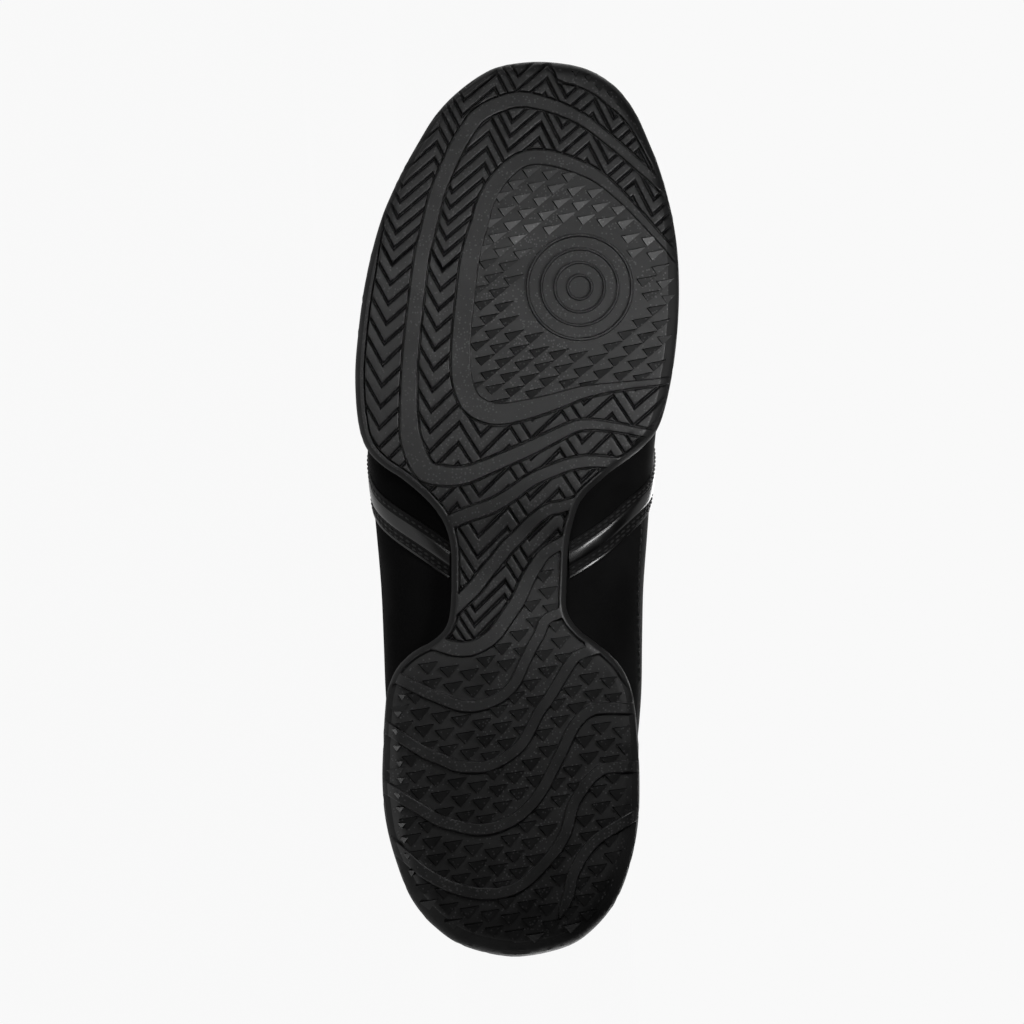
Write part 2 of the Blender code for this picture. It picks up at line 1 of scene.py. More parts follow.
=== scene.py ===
"""Looks of a right boxing shoe that lies on its outer side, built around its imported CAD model.

Tables are millimetres in the shoe's own frame: u runs from heel to toe, v to the inner side of the
foot, and w up from the ground that the sole would stand on.
"""
import bisect
import json
import math

import bpy
import numpy as np
from mathutils import Matrix, Vector
from mathutils.bvhtree import BVHTree
from mathutils.geometry import delaunay_2d_cdt


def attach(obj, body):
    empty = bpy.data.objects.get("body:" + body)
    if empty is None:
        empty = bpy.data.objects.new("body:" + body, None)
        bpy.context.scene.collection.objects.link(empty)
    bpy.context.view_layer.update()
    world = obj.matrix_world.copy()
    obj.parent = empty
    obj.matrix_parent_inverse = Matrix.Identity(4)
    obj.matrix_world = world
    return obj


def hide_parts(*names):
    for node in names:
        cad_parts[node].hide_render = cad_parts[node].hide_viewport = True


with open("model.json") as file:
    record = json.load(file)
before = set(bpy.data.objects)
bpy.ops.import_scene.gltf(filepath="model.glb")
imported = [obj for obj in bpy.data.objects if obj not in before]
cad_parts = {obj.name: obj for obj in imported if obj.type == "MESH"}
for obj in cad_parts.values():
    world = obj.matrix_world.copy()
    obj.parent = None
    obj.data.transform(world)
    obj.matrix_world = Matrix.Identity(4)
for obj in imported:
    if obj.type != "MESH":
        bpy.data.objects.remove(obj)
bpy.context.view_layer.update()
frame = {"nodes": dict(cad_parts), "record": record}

MM = 0.001
TINY = 1e-6

# Sizes shared with the solids
LENGTH = 295.0
WALL = 2.0
GAP = 0.3
SPRING_START = 205.0
TOE_SPRING = 12.0
SPRING_POWER = 2.2
HEEL_BEVEL = 22.0
HEEL_LIFT = 3.0
ARCH_FROM, ARCH_TO = 95.0, 160.0
ARCH_RISE = 2.0
INSOLE_RISE = 6.5
INNER_GAP = 0.8
TONGUE_THICK = 3.0
TONGUE_HALF = 29.0
EYESTAY_WIDTH = 17.0
EYESTAY_STEP = 0.8
COLLAR_STEP = 1.0
STEP_RUN = 0.6
STRIP_HALF = 6.2
EYELET_PAIRS = 6
EYELET_INSET = 9.0
EYELET_HOLE = 2.2
EYELET_RADIUS = 3.6
LACE_HALF = 3.0
LACE_THICK = 1.4
VAMP_POINT = 8.45
COLLAR = 26.0
COLLAR_BAND_START = 24.6
TONGUE_START = 7.6
TONGUE_END = 26.7
HEEL_MOUNT_U = 55.0

# Columns of the tables along the foot that have a value for each of its sides
LATERAL, MEDIAL = 1, 2

# Edge of the sole: place along the foot, and its reach to each side
SOLE_EDGE = (
    (3.0, 14.5, 17.0), (8.9, 24.4, 26.4), (18.8, 33.0, 34.3), (32.0, 38.4, 39.2), (45.0, 41.7, 41.5),
    (58.0, 42.8, 41.9), (72.0, 42.4, 41.4), (81.0, 41.9, 40.5), (88.0, 41.0, 39.2), (95.0, 38.0, 36.2),
    (100.2, 33.0, 31.6), (104.0, 26.4, 26.8), (108.4, 22.0, 21.4), (114.4, 20.4, 17.9), (124.3, 20.1, 17.9),
    (135.8, 20.4, 18.5), (144.0, 23.1, 20.2), (150.6, 28.3, 22.8), (157.2, 35.9, 29.3), (161.2, 42.0, 34.3),
    (165.5, 46.6, 40.2), (169.7, 49.1, 44.8), (174.4, 50.4, 48.1), (182.0, 51.4, 50.6), (193.5, 51.7, 52.9),
    (206.7, 50.6, 54.4), (220.0, 48.8, 54.9), (233.0, 46.0, 54.3), (246.0, 42.0, 52.2), (259.4, 35.8, 48.5),
    (269.3, 30.3, 44.6), (276.0, 26.2, 41.7), (281.0, 22.1, 38.8), (285.1, 17.8, 35.6), (288.4, 13.6, 32.0),
    (291.0, 9.6, 27.8), (293.0, 5.4, 23.2), (294.4, -1.0, 16.5),
)
HEEL_TIP_V = 1.0
TOE_TIP_V = 8.5

# Radius between the tread and the side of the sole along the foot
EDGE_ROUNDS = ((0.0, 7.0), (60.0, 6.0), (92.0, 4.0), (108.0, 2.5), (150.0, 2.5), (166.0, 4.0),
               (200.0, 4.0), (250.0, 3.5), (295.0, 3.5))

# Sections of the upper from the tip of the toe to past the collar
SECTION_COLUMNS = ("top_u", "top_w", "base_u", "base_w", "lateral", "medial", "belly", "low", "high",
                   "slot", "throat")
SECTIONS = (
    (291.6, 24.4, 291.6, 24.4, -9.4, 9.4, 0.45, 2.2, 2.0, 0.0, 0.0),
    (290.6, 31.5, 291.0, 18.8, 2.2, 19.2, 0.45, 2.3, 2.0, 0.0, 0.0),
    (287.4, 38.0, 288.2, 15.4, 8.6, 27.0, 0.42, 2.6, 2.0, 0.0, 0.0),
    (281.4, 45.0, 282.6, 12.6, 17.0, 34.4, 0.38, 3.0, 2.1, 0.0, 0.0),
    (272.4, 50.6, 273.0, 10.2, 25.0, 40.2, 0.36, 3.4, 2.2, 0.0, 0.0),
    (260.4, 55.2, 260.4, 8.6, 32.0, 45.2, 0.34, 3.8, 2.2, 12.0, 0.0),
    (245.0, 59.8, 245.0, 7.4, 39.4, 49.4, 0.33, 4.0, 2.2, 20.0, 0.0),
    (226.0, 65.6, 226.0, 6.8, 44.8, 52.0, 0.32, 4.2, 2.2, 24.0, 0.0),
    (207.0, 73.0, 207.0, 6.6, 47.8, 51.4, 0.31, 4.2, 2.15, 24.0, 0.0),
    (189.0, 81.6, 189.0, 6.6, 48.8, 49.2, 0.31, 3.9, 2.1, 20.0, 5.0),
    (172.0, 90.6, 172.0, 6.9, 48.3, 47.4, 0.31, 3.3, 2.1, 14.0, 10.0),
    (156.0, 99.4, 154.0, 7.6, 46.4, 45.8, 0.31, 2.8, 2.1, 9.0, 12.0),
    (143.0, 107.0, 136.0, 8.2, 44.8, 44.6, 0.31, 2.6, 2.1, 7.0, 13.0),
    (133.0, 113.6, 117.0, 8.6, 43.4, 43.4, 0.30, 2.8, 2.1, 8.0, 14.0),
    (125.4, 119.4, 97.0, 8.8, 42.6, 43.0, 0.29, 3.4, 2.1, 14.0, 14.6),
    (119.6, 124.6, 77.0, 8.8, 41.9, 42.7, 0.28, 3.9, 2.1, 20.0, 15.0),
    (115.4, 129.2, 57.0, 8.8, 40.4, 41.2, 0.28, 4.0, 2.1, 22.0, 15.2),
    (112.2, 133.6, 37.0, 8.9, 39.4, 39.2, 0.29, 3.5, 2.1, 18.0, 15.4),
    (109.8, 137.8, 16.6, 9.6, 38.9, 38.7, 0.31, 2.7, 2.1, 0.0, 15.6),
    (107.9, 141.8, 4.0, 18.0, 38.4, 38.2, 0.34, 2.25, 2.1, 0.0, 15.8),
    (106.4, 145.6, 1.8, 35.0, 37.7, 37.5, 0.38, 2.1, 2.1, 0.0, 16.0),
    (105.2, 149.2, 4.6, 56.0, 37.0, 36.8, 0.42, 2.1, 2.1, 0.0, 16.2),
    (104.2, 152.8, 8.4, 78.0, 36.6, 36.4, 0.46, 2.1, 2.1, 0.0, 16.4),
    (103.4, 156.4, 11.0, 100.0, 36.6, 36.4, 0.48, 2.1, 2.1, 0.0, 16.6),
    (102.8, 160.2, 11.0, 122.0, 37.0, 36.8, 0.50, 2.1, 2.1, 0.0, 16.8),
    (102.4, 164.2, 8.6, 143.0, 37.8, 37.6, 0.50, 2.1, 2.1, 0.0, 17.0),
    (102.2, 168.2, 5.6, 160.0, 38.6, 38.4, 0.50, 2.1, 2.1, 0.0, 17.2),
    (102.2, 178.0, 4.0, 170.0, 39.0, 38.8, 0.50, 2.1, 2.1, 0.0, 17.4),
)

# Where a saddle strip runs: station of its middle, and its share of the way from base to top
STRIP_LATERAL = ((12.3, 0.133), (11.9, 0.21), (11.38, 0.325), (10.85, 0.44), (10.2, 0.60), (9.75, 0.74))
STRIP_MEDIAL = ((12.3, 0.1215), (11.92, 0.20), (11.4, 0.29), (10.95, 0.40), (10.3, 0.56), (9.65, 0.74))

TREAD_DEPTH = 1.5         # from the tops of the ribs to the floor between them
EVEN_HALF = 1.9           # half-width of the even bands under the heel


def even_band(*places):
    return tuple((*place, EVEN_HALF) for place in places)


# Smooth bands of the tread, as rows of u, v and half-width
BANDS = (
    ((254, 49, 1.5), (263, 39, 1.6), (269, 32, 1.7), (276.5, 22, 1.9), (281, 11, 2.2), (282.5, 1, 2.4),
     (278, -10, 2.4), (272, -15, 2.4), (265, -19, 2.4), (252, -24.5, 2.4), (238, -28, 2.4),
     (229.5, -30, 2.4), (204, -33, 2.5), (189, -34, 2.6), (176, -34, 3.0), (169, -33, 3.4),
     (160.5, -29, 3.5), (158.4, -23, 3.3), (158.5, -16, 2.9), (161, -9, 2.5), (164, -2, 2.4), (168, 7, 2.3),
     (172, 15, 2.0), (175, 22, 1.8), (175, 29, 1.6), (174, 36, 1.4), (173, 41, 1.4)),
    ((236, 49, 1.2), (246, 40, 1.4), (252, 34, 1.7), (257, 28, 2.0), (260, 22, 2.2), (262.5, 15, 2.4),
     (263.5, 9, 2.4), (262.7, 3.6, 2.4), (260, -0.7, 2.5), (255, -5.3, 2.6), (248, -9, 2.8),
     (242, -10.5, 2.9), (236, -12.4, 3.0), (228, -14.2, 3.1), (216.6, -15.5, 3.1), (207, -16.5, 3.1),
     (196, -17, 3.2), (188, -16, 3.4), (182, -13, 3.6), (179, -7, 3.6), (179, -1.6, 3.5), (180.6, 6, 3.2),
     (183, 14.5, 2.7), (185.6, 22, 2.2), (187, 29, 1.7), (188, 36, 1.4), (189, 45, 1.2)),
    ((143, -21, 2.3), (146, -13.5, 2.3), (148, -7.6, 2.3), (151.5, -1.3, 2.2), (157, 6.3, 2.1),
     (160, 13, 2.1), (162, 18.5, 2.0), (163, 24, 2.0), (163, 29.5, 1.9), (162, 36, 1.9)),
    ((149.6, 21, 1.8), (148, 16, 1.9), (147, 11.5, 2.0), (143, 6.3, 2.1), (138, 1.6, 2.2), (135, -1.6, 2.3),
     (130, -5.6, 2.3), (126, -9, 2.4), (122, -12, 2.4), (118, -16, 2.4)),
    ((136, 16, 2.0), (133, 11, 2.1), (129, 8, 2.2), (124, 5, 2.3), (118, 2.3, 2.4), (114, -0.3, 2.4),
     (110, -3, 2.4), (106, -6, 2.4), (103, -10, 2.4), (101.5, -14, 2.4), (101.5, -19, 2.4), (103, -24, 2.4)),
    even_band((113, 15), (111, 11), (106.5, 9), (103, 7), (97, 4), (91, 1.3), (87, -2), (84, -7),
              (82.6, -12.5), (83, -18), (85, -23), (87, -28), (90, -34)),
    even_band((101, 26), (99, 21), (95, 18), (90, 15), (85, 12), (81, 9), (75, 6), (69.5, 2.6),
              (65.6, -2.3), (63, -7.6), (62.5, -13), (63, -18.5), (65, -23), (67, -28), (70, -33)),
    even_band((82, 35), (82, 31), (81.6, 27), (80, 24), (77, 21), (73.5, 19), (69, 17), (65, 15), (61, 13),
              (57, 11), (51, 7), (46, 1.6), (43, -4.6), (42, -11), (43, -17), (45, -24), (48, -29),
              (51, -34)),
    even_band((62.6, 36), (62, 30), (59, 26), (55, 23), (50, 20), (42, 18), (37, 15.5), (33, 12.5), (27, 7),
              (23, 1.6), (21, -5), (21.4, -13.5), (24, -22), (28, -29), (32, -34)),
    ((44, 36, 1.9), (41, 31, 1.9), (38, 27, 1.9), (33, 23, 1.9), (27, 20, 1.9), (20, 18.5, 1.8),
     (15, 16.4, 1.2), (11, 14.2, -0.6)),
)
LOOP_BAND = 1             # the band that loops round the studs under the ball
LOOP_CLOSE = ((190.0, 70.0), (236.0, 70.0))    # places past the inner edge that close the loop
HEEL_BAND = 4             # the band between the ribs of the waist and the studs of the heel
BAND_RUN_ON = 12.0        # how far a band runs on past its ends, to the edge of the sole
# Distance from the edge of a smooth place, and height of its own side and of the ribs next to it
PLAIN_SIDE = ((-0.40, 1.0), (-0.12, 0.9), (0.10, 0.0))
RIB_SIDE = ((0.32, 0.0), (0.56, 0.9), (0.84, 1.0))

# Smooth border of the tread along the foot, at the outer and the inner edge
BORDERS = ((0.0, -1.5, -1.5), (82.0, -1.5, -1.5), (92.0, 1.6, 1.6), (110.0, 2.4, 2.4), (150.0, 2.4, 2.4),
           (170.0, 2.8, 1.6), (188.0, 2.8, -1.5), (225.0, 2.6, -1.5), (240.0, 1.2, -1.5), (250.0, -1.5, 0.5),
           (258.0, -1.5, 1.6), (271.0, -1.5, 3.2), (277.0, -1.5, 4.6), (281.0, -1.5, 6.2), (288.0, -1.5, 6.2),
           (291.0, -1.5, 4.2), (295.0, -1.5, 1.6))
RIM_TAPER = 3.0           # distance over which the tread runs out into the edge of the sole
# Where the outer border passes into the inner one, as u and v
BORDER_SPLIT = ((0.0, 0.0), (255.0, 0.0), (280.0, 11.0), (295.0, 12.0))
SPLIT_RUN = 6.0

# Zig-zag ribs: the line of the middle folds as u and v, marks as u and row, and the rows' lean at u
FOLD_LINE = ((109.4, -12.5), (137.4, -11.2), (173.0, -10.4), (200.0, -8.9), (233.0, -5.6), (270.0, -0.8),
             (290.4, 2.0))
FOLD_PITCH = 16.7
FOLD_SPLIT = 0.57         # share of the pitch on the rising arm
ARM_RISE = 10.3
ROW_MARKS = ((76.0, 38), (104.5, 32), (114.0, 30), (131.5, 27), (138.4, 26), (165.1, 22), (198.1, 17),
             (224.3, 13), (250.0, 8), (265.7, 5), (275.2, 3), (290.4, 0), (314.4, -5))
ROW_LEANS = ((100.0, 0.05), (150.0, 0.055), (175.0, 0.07), (200.0, 0.115), (290.0, 0.115))
# Distance from the middle of a groove, and height of its side
GROOVE_SIDE = ((0.06, 0.0), (0.46, 0.72), (0.62, 0.90), (0.80, 0.975), (1.0, 1.0))
ARM_SQUARE = 0.68         # distance across a rib for each millimetre along the foot

# Wedge studs: an anchor, the steps to the next stud and the next row, and the corners, as (u, v); the
# heights of the corners at a place u along the foot; and how near a stud's middle comes to the sole's edge
STUDS_BALL = {"anchor": (259.1, 6.3), "step": (-0.73, 6.49), "row": (-4.75, 1.68),
              "corners": ((0.35, -3.35), (1.8, 3.6), (-2.5, -1.35)),
              "heights": ((228.0, 1.0, 0.64, 0.14), (240.0, 1.0, 0.10, 0.42)), "from_rim": 1.6}
STUDS_HEEL = {"anchor": (79.4, -23.7), "step": (-1.12, 6.79), "row": (-5.44, 1.35),
              "corners": ((0.9, -3.4), (2.05, 3.5), (-2.8, -0.15)),
              "heights": ((0.0, 1.0, 0.50, 0.25),), "from_rim": 3.4}
STUD_REACH = 30                     # steps and rows of a lattice to each side of its anchor
STUD_APART = 0.2                    # least distance of a stud's middle from a smooth place
STUD_INSIDE = 0.3                   # and of its corners from the sole's edge
STUD_PULL = 0.25                    # share by which a corner too near the edge is drawn in
STUD_PULLS = 6                      # and how often
STUD_SINK = -0.5                    # of a stud's foot under the floor, as a share of the depth
STUD_DRAFT = 0.86                   # size of a stud's top against its foot
STUD_LEAN = (-0.25, 0.18)           # shift of a stud's top, away from its two steep walls
STUD_PAINTED_SHADE_FACES = (0, 0, 2, 0, 2)     # foot, top and walls: the walls towards the toe and the outer side in near-black painted shade
# On the small rim studs all three walls are in near-black painted shade
RIM_STUD_PAINTED_SHADE_FACES = (0, 0, 2, 2, 2)
# Faces of a stud: corners 0 to 2 are those of its foot, 3 to 5 those of its top
WEDGE_FACES = ((0, 1, 2), (3, 5, 4), (0, 1, 4, 3), (1, 2, 5, 4), (2, 0, 3, 5))
# Small studs round the smooth front of the toe and the outer edge of the heel
RIM_STUDS = ((291.4, 20.6), (289.6, 24.8), (286.6, 28.4), (284.4, 32.2), (280.8, 35.4),
             (86.0, -36.6), (80.4, -37.9), (74.6, -38.6), (69.2, -38.2), (64.0, -37.4), (58.6, -37.0),
             (53.6, -37.8), (49.0, -37.2), (43.8, -36.6), (39.0, -35.8), (33.8, -34.6), (28.2, -33.2))
RIM_STUD_CORNERS = ((0.8, -1.3), (0.7, 1.5), (-1.4, 0.1))
RIM_STUD_HEIGHT = 1.3
RIM_STUD_TILT = (0.1, 1.0, 0.0)     # drop of the corners of its top, in millimetres
# Width of the matt edge round the tread
MATT_EDGE = ((0.0, 4.6, 4.0), (14.0, 4.0, 3.2), (40.0, 1.6, 1.6), (164.0, 1.6, 1.6), (176.0, 1.6, 3.4),
             (238.0, 1.6, 3.4), (254.0, 1.6, 1.6))

# Turning spot under the ball: its middle, the bare patch, and its rings as radius and half-width
SPOT = (220.5, 22.2)
SPOT_PATCH = 20.5
SPOT_CLEAR = 1.0          # between the patch and the studs round it
SPOT_RINGS = ((17.2, 0.55), (12.6, 0.5), (8.2, 0.5), (4.0, 0.5))
RING_SIDE = 0.3


def along_foot(table, u, column=1):
    """Reads a column of a table of places along the foot between its rows."""
    rows = np.array(table, float)
    return np.interp(u, rows[:, 0], rows[:, column])


def profile(values, rows):
    """Height at a distance, from rows of distance and height."""
    return np.interp(values, [row[0] for row in rows], [row[1] for row in rows])


def smooth_rows(rows, at):
    """Reads a table of rows at fractional row numbers, with a smooth curve through the rows."""
    rows = np.asarray(rows, float)
    at = np.clip(np.asarray(at, float), 0.0, len(rows) - 1.0)
    first = np.minimum(at.astype(int), len(rows) - 2)
    share = (at - first)[..., None]
    before = rows[np.maximum(first - 1, 0)]
    here = rows[first]
    there = rows[first + 1]
    after = rows[np.minimum(first + 2, len(rows) - 1)]
    linear = (there - before) * share
    square = (2 * before - 5 * here + 4 * there - after) * share ** 2
    cube = (3 * here - before - 3 * there + after) * share ** 3
    return 0.5 * (2 * here + linear + square + cube)


def shoe_frame(record):
    """Where the shoe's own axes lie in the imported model, from the two mounts under its tread."""
    spots = {mount["name"]: mount for mount in record["mounts"]}
    heel = np.array(spots["tread_heel"]["pos_m"])
    ball = np.array(spots["tread_forefoot"]["pos_m"])
    along = (ball - heel) / np.linalg.norm(ball - heel)
    up = -np.array(spots["tread_heel"]["axis"])
    up /= np.linalg.norm(up)
    inward = np.cross(up, along)
    return heel - along * HEEL_MOUNT_U * MM, np.stack((along, inward, up))


SHOE_ORIGIN, SHOE_AXES = shoe_frame(frame["record"])


def placed(points):
    """Points of the shoe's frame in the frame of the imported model."""
    return SHOE_ORIGIN + np.asarray(points, float) * MM @ SHOE_AXES


def in_shoe(points):
    """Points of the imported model's frame in the shoe's frame."""
    return (np.asarray(points, float) - SHOE_ORIGIN) @ SHOE_AXES.T / MM


# Making pieces

def pick(item):
    bpy.ops.object.select_all(action="DESELECT")
    item.select_set(True)
    bpy.context.view_layer.objects.active = item


def new_piece(name, points, faces, materials, merge=0.01, outward=True, finishes=None):
    """A mesh from points in the shoe's frame, with doubles merged and faces turned outwards.

    finishes holds the number of each face's material.
    """
    mesh = bpy.data.meshes.new(name)
    mesh.from_pydata(placed(points).tolist(), [], faces)
    if finishes is not None:
        mesh.polygons.foreach_set("material_index", np.asarray(finishes, np.int32))
    for material in materials:
        mesh.materials.append(material)
    item = bpy.data.objects.new(name, mesh)
    bpy.context.scene.collection.objects.link(item)
    pick(item)
    bpy.ops.object.mode_set(mode="EDIT")
    bpy.ops.mesh.select_all(action="SELECT")
    bpy.ops.mesh.remove_doubles(threshold=merge * MM)
    if outward:
        bpy.ops.mesh.normals_make_consistent(inside=False)
    bpy.ops.object.mode_set(mode="OBJECT")
    return item


def apply_modifiers(item):
    pick(item)
    for modifier in list(item.modifiers):
        bpy.ops.object.modifier_apply(modifier=modifier.name)


def finish_piece(item, angle=None, nodes=()):
    """Sets a piece's smoothing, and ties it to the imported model."""
    pick(item)
    if angle is None:
        bpy.ops.object.shade_smooth()
    else:
        bpy.ops.object.shade_smooth_by_angle(angle=math.radians(angle))
    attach(item, "root")
    if nodes:
        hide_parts(*nodes)
    return item


def grid_faces(rows, columns, start=0, flip=False, closed=False):
    """Quads between rows of points; closed joins the last column to the first."""
    faces = []
    for row in range(rows - 1):
        for place in range(columns if closed else columns - 1):
            here = start + row * columns + place
            there = start + row * columns + (place + 1) % columns
            face = (here, here + columns, there + columns, there)
            faces.append(tuple(reversed(face)) if flip else face)
    return faces


def slab(outer, inner):
    """Points and faces of a closed slab between two grids of points with the same layout."""
    rows, columns = outer.shape[:2]
    count = rows * columns
    points = np.concatenate((outer.reshape(-1, 3), inner.reshape(-1, 3)))
    faces = grid_faces(rows, columns) + grid_faces(rows, columns, count, flip=True)
    border = list(range(columns))
    border += [row * columns + columns - 1 for row in range(1, rows)]
    border += [(rows - 1) * columns + place for place in range(columns - 2, -1, -1)]
    border += [row * columns for row in range(rows - 2, 0, -1)]
    for here, there in zip(border, border[1:] + border[:1]):
        faces.append((here, there, there + count, here + count))
    return points, faces


def joined(parts):
    """Points and faces of several meshes as those of one."""
    points = []
    faces = []
    start = 0
    for made, made_faces in parts:
        faces += [tuple(start + place for place in face) for face in made_faces]
        points.append(made)
        start += len(made)
    return np.concatenate(points), faces


def lengths_along(line):
    """The length of a line of points up to each of them."""
    return np.concatenate(([0.0], np.cumsum(np.linalg.norm(np.diff(line, axis=0), axis=1))))


def read_line(line, lengths, along):
    """The places at given lengths along a line of points."""
    return np.stack([np.interp(along, lengths, line[:, axis]) for axis in range(3)], axis=-1)


def unit(rows):
    """Rows of directions, each made one long."""
    return rows / np.linalg.norm(rows, axis=1, keepdims=True)


# The form of the upper

QUARTER_POINTS = 91       # along each quarter of a section
STATION_STEP = 0.04       # between the places that a normal is read from
SHARE_STEP = 0.004
LAST_STATION = len(SECTIONS) - 1.0


def section_values(station):
    return dict(zip(SECTION_COLUMNS, smooth_rows(SECTIONS, station)))


def section_curve(station, side):
    """Points of one half of a section, from its base to its top, with their lengths along it."""
    size = section_values(station)
    quarter = np.linspace(0.0, math.pi / 2, QUARTER_POINTS)
    low_width = np.sin(quarter) ** (2 / size["low"])
    low_height = size["belly"] * (1 - np.cos(quarter) ** (2 / size["low"]))
    high_width = np.cos(quarter[1:]) ** (2 / size["high"])
    high_height = size["belly"] + (1 - size["belly"]) * np.sin(quarter[1:]) ** (2 / size["high"])
    width = np.concatenate((low_width, high_width))
    height = np.concatenate((low_height, high_height))
    middle = (size["medial"] - size["lateral"]) / 2
    reach = (size["medial"] + size["lateral"]) / 2
    u = size["base_u"] + (size["top_u"] - size["base_u"]) * height
    w = size["base_w"] + (size["top_w"] - size["base_w"]) * height
    points = np.stack((u, middle + side * reach * width, w), axis=1)
    return points, lengths_along(points)


def surface_points(station, side, shares):
    """Points of the upper's outer form, at shares of the section's length from base to top."""
    points, lengths = section_curve(station, side)
    return read_line(points, lengths, np.asarray(shares, float) * lengths[-1])


def form_normals(station, side, shares):
    shares = np.asarray(shares, float)
    ahead = surface_points(max(station - STATION_STEP, 0.0), side, shares)
    behind = surface_points(min(station + STATION_STEP, LAST_STATION), side, shares)
    higher = surface_points(station, side, np.minimum(shares + SHARE_STEP, 1.0))
    lower = surface_points(station, side, np.maximum(shares - SHARE_STEP, 0.0))
    past_top = shares + SHARE_STEP > 1.0
    past_base = shares - SHARE_STEP < 0.0
    higher[past_top] = surface_points(station, -side, 2.0 - shares[past_top] - SHARE_STEP)
    lower[past_base] = surface_points(station, -side, SHARE_STEP - shares[past_base])
    normals = np.cross(higher - lower, ahead - behind) * side
    sizes = np.linalg.norm(normals, axis=1, keepdims=True)
    return np.where(sizes < TINY, (1.0, 0.0, 0.0), normals / np.maximum(sizes, TINY))


def form_points(station, side, shares, lifts):
    """Points lifted off the outer form along its outward normal."""
    lifts = np.broadcast_to(np.asarray(lifts, float), np.shape(shares))
    return surface_points(station, side, shares) + lifts[:, None] * form_normals(station, side, shares)


def section_length(station, side):
    return max(section_curve(station, side)[1][-1], TINY)


def opening_shares(station, side):
    """Shares of the section's length where the slot underneath ends and the throat begins."""
    size = section_values(station)
    length = section_length(station, side)
    throat = max(size["throat"], 0.0) if station > VAMP_POINT else 0.0
    return max(size["slot"], 0.0) / length, 1.0 - throat / length, length


def across_top(station, reaches, lifts):
    """Points at distances to the sides of the section's top, along the section."""
    reaches = np.asarray(reaches, float)
    lifts = np.broadcast_to(np.asarray(lifts, float), reaches.shape)
    points = np.zeros((len(reaches), 3))
    for side in (-1, 1):
        here = reaches >= 0 if side > 0 else reaches < 0
        if here.any():
            shares = 1.0 - np.abs(reaches[here]) / section_length(station, side)
            points[here] = form_points(station, side, shares, lifts[here])
    return points


# Materials

GREY_BLUE = 1.02          # of the blue in a grey against its red and green
BLOTCH_DETAIL = 4.0
GRAIN_DETAIL, GRAIN_ROUGH = 5.0, 0.65
THREAD_EDGE = 0.6         # height over which one thread passes into the next
GRAIN_ON_WEAVE = 0.25     # share of the grain's height that is left on a weave


def feed(tree, socket, value):
    """Links a socket to another one, or sets its value."""
    if isinstance(value, bpy.types.NodeSocket):
        tree.links.new(value, socket)
    else:
        socket.default_value = value


def node(tree, kind, inputs=(), **settings):
    made = tree.nodes.new(kind)
    for name, value in settings.items():
        setattr(made, name, value)
    for socket, value in dict(inputs).items():
        feed(tree, made.inputs[socket], value)
    return made


def math_value(tree, operation, *values):
    return node(tree, "ShaderNodeMath", enumerate(values), operation=operation).outputs["Value"]


def map_range(tree, value, ends):
    return node(tree, "ShaderNodeMapRange", {"Value": value, **ends}).outputs["Result"]


def new_group(name, numbers, outputs):
    """An empty node group with a vector input, number inputs and number outputs."""
    tree = bpy.data.node_groups.new(name, "ShaderNodeTree")
    tree.interface.new_socket("Vector", in_out="INPUT", socket_type="NodeSocketVector")
    for label, value in numbers.items():
        socket = tree.interface.new_socket(label, in_out="INPUT", socket_type="NodeSocketFloat")
        socket.default_value = value
    for label in outputs:
        tree.interface.new_socket(label, in_out="OUTPUT", socket_type="NodeSocketFloat")
    return tree, tree.nodes.new("NodeGroupInput").outputs, tree.nodes.new("NodeGroupOutput").inputs


def blotch_group():
    """Soft uneven patches, from 0 to 1."""
    tree, given, out = new_group("soft_blotches", {"Scale": 60.0, "From": 0.35, "To": 0.65}, ("Mask",))
    noise = node(tree, "ShaderNodeTexNoise", {"Vector": given["Vector"], "Scale": given["Scale"],
                                              "Detail": BLOTCH_DETAIL})
    mask = map_range(tree, noise.outputs["Fac"], {"From Min": given["From"], "From Max": given["To"]})
    tree.links.new(mask, out["Mask"])
    return tree


def speck_group():
    """Scattered small specks, as a mask."""
    tree, given, out = new_group("fine_specks", {"Scale": 1000.0, "Size": 0.3, "Share": 0.5}, ("Mask",))
    cells = node(tree, "ShaderNodeTexVoronoi", {"Vector": given["Vector"], "Scale": given["Scale"]})
    small = math_value(tree, "LESS_THAN", cells.outputs["Distance"], given["Size"])
    some = math_value(tree, "LESS_THAN", cells.outputs["Color"], given["Share"])
    tree.links.new(math_value(tree, "MULTIPLY", small, some), out["Mask"])
    return tree


def grain_group():
    """Fine pores and a finer roughness, as a height."""
    tree, given, out = new_group("fine_grain", {"Scale": 900.0, "Pores": 0.5}, ("Height",))
    noise = node(tree, "ShaderNodeTexNoise", {"Vector": given["Vector"], "Scale": given["Scale"],
                                              "Detail": GRAIN_DETAIL, "Roughness": GRAIN_ROUGH})
    pores = node(tree, "ShaderNodeTexVoronoi", {"Vector": given["Vector"], "Scale": given["Scale"]})
    deep = math_value(tree, "MULTIPLY", pores.outputs["Distance"], given["Pores"])
    tree.links.new(math_value(tree, "ADD", noise.outputs["Fac"], deep), out["Height"])
    return tree


def weave_group():
    """Crossing threads, as a height and a mask of the upper threads."""
    tree, given, out = new_group("weave", {"Scale": 1.0}, ("Height", "Mask"))
    scaled = node(tree, "ShaderNodeVectorMath", {0: given["Vector"], "Scale": given["Scale"]},
                  operation="SCALE")
    apart = node(tree, "ShaderNodeSeparateXYZ", {"Vector": scaled.outputs["Vector"]}).outputs
    waves = [math_value(tree, "SINE", math_value(tree, "MULTIPLY", apart[axis], math.pi)) for axis in "XY"]
    over = math_value(tree, "MULTIPLY", *waves)
    tree.links.new(math_value(tree, "ABSOLUTE", over), out["Height"])
    tree.links.new(map_range(tree, over, {"From Min": -THREAD_EDGE, "From Max": THREAD_EDGE}), out["Mask"])
    return tree


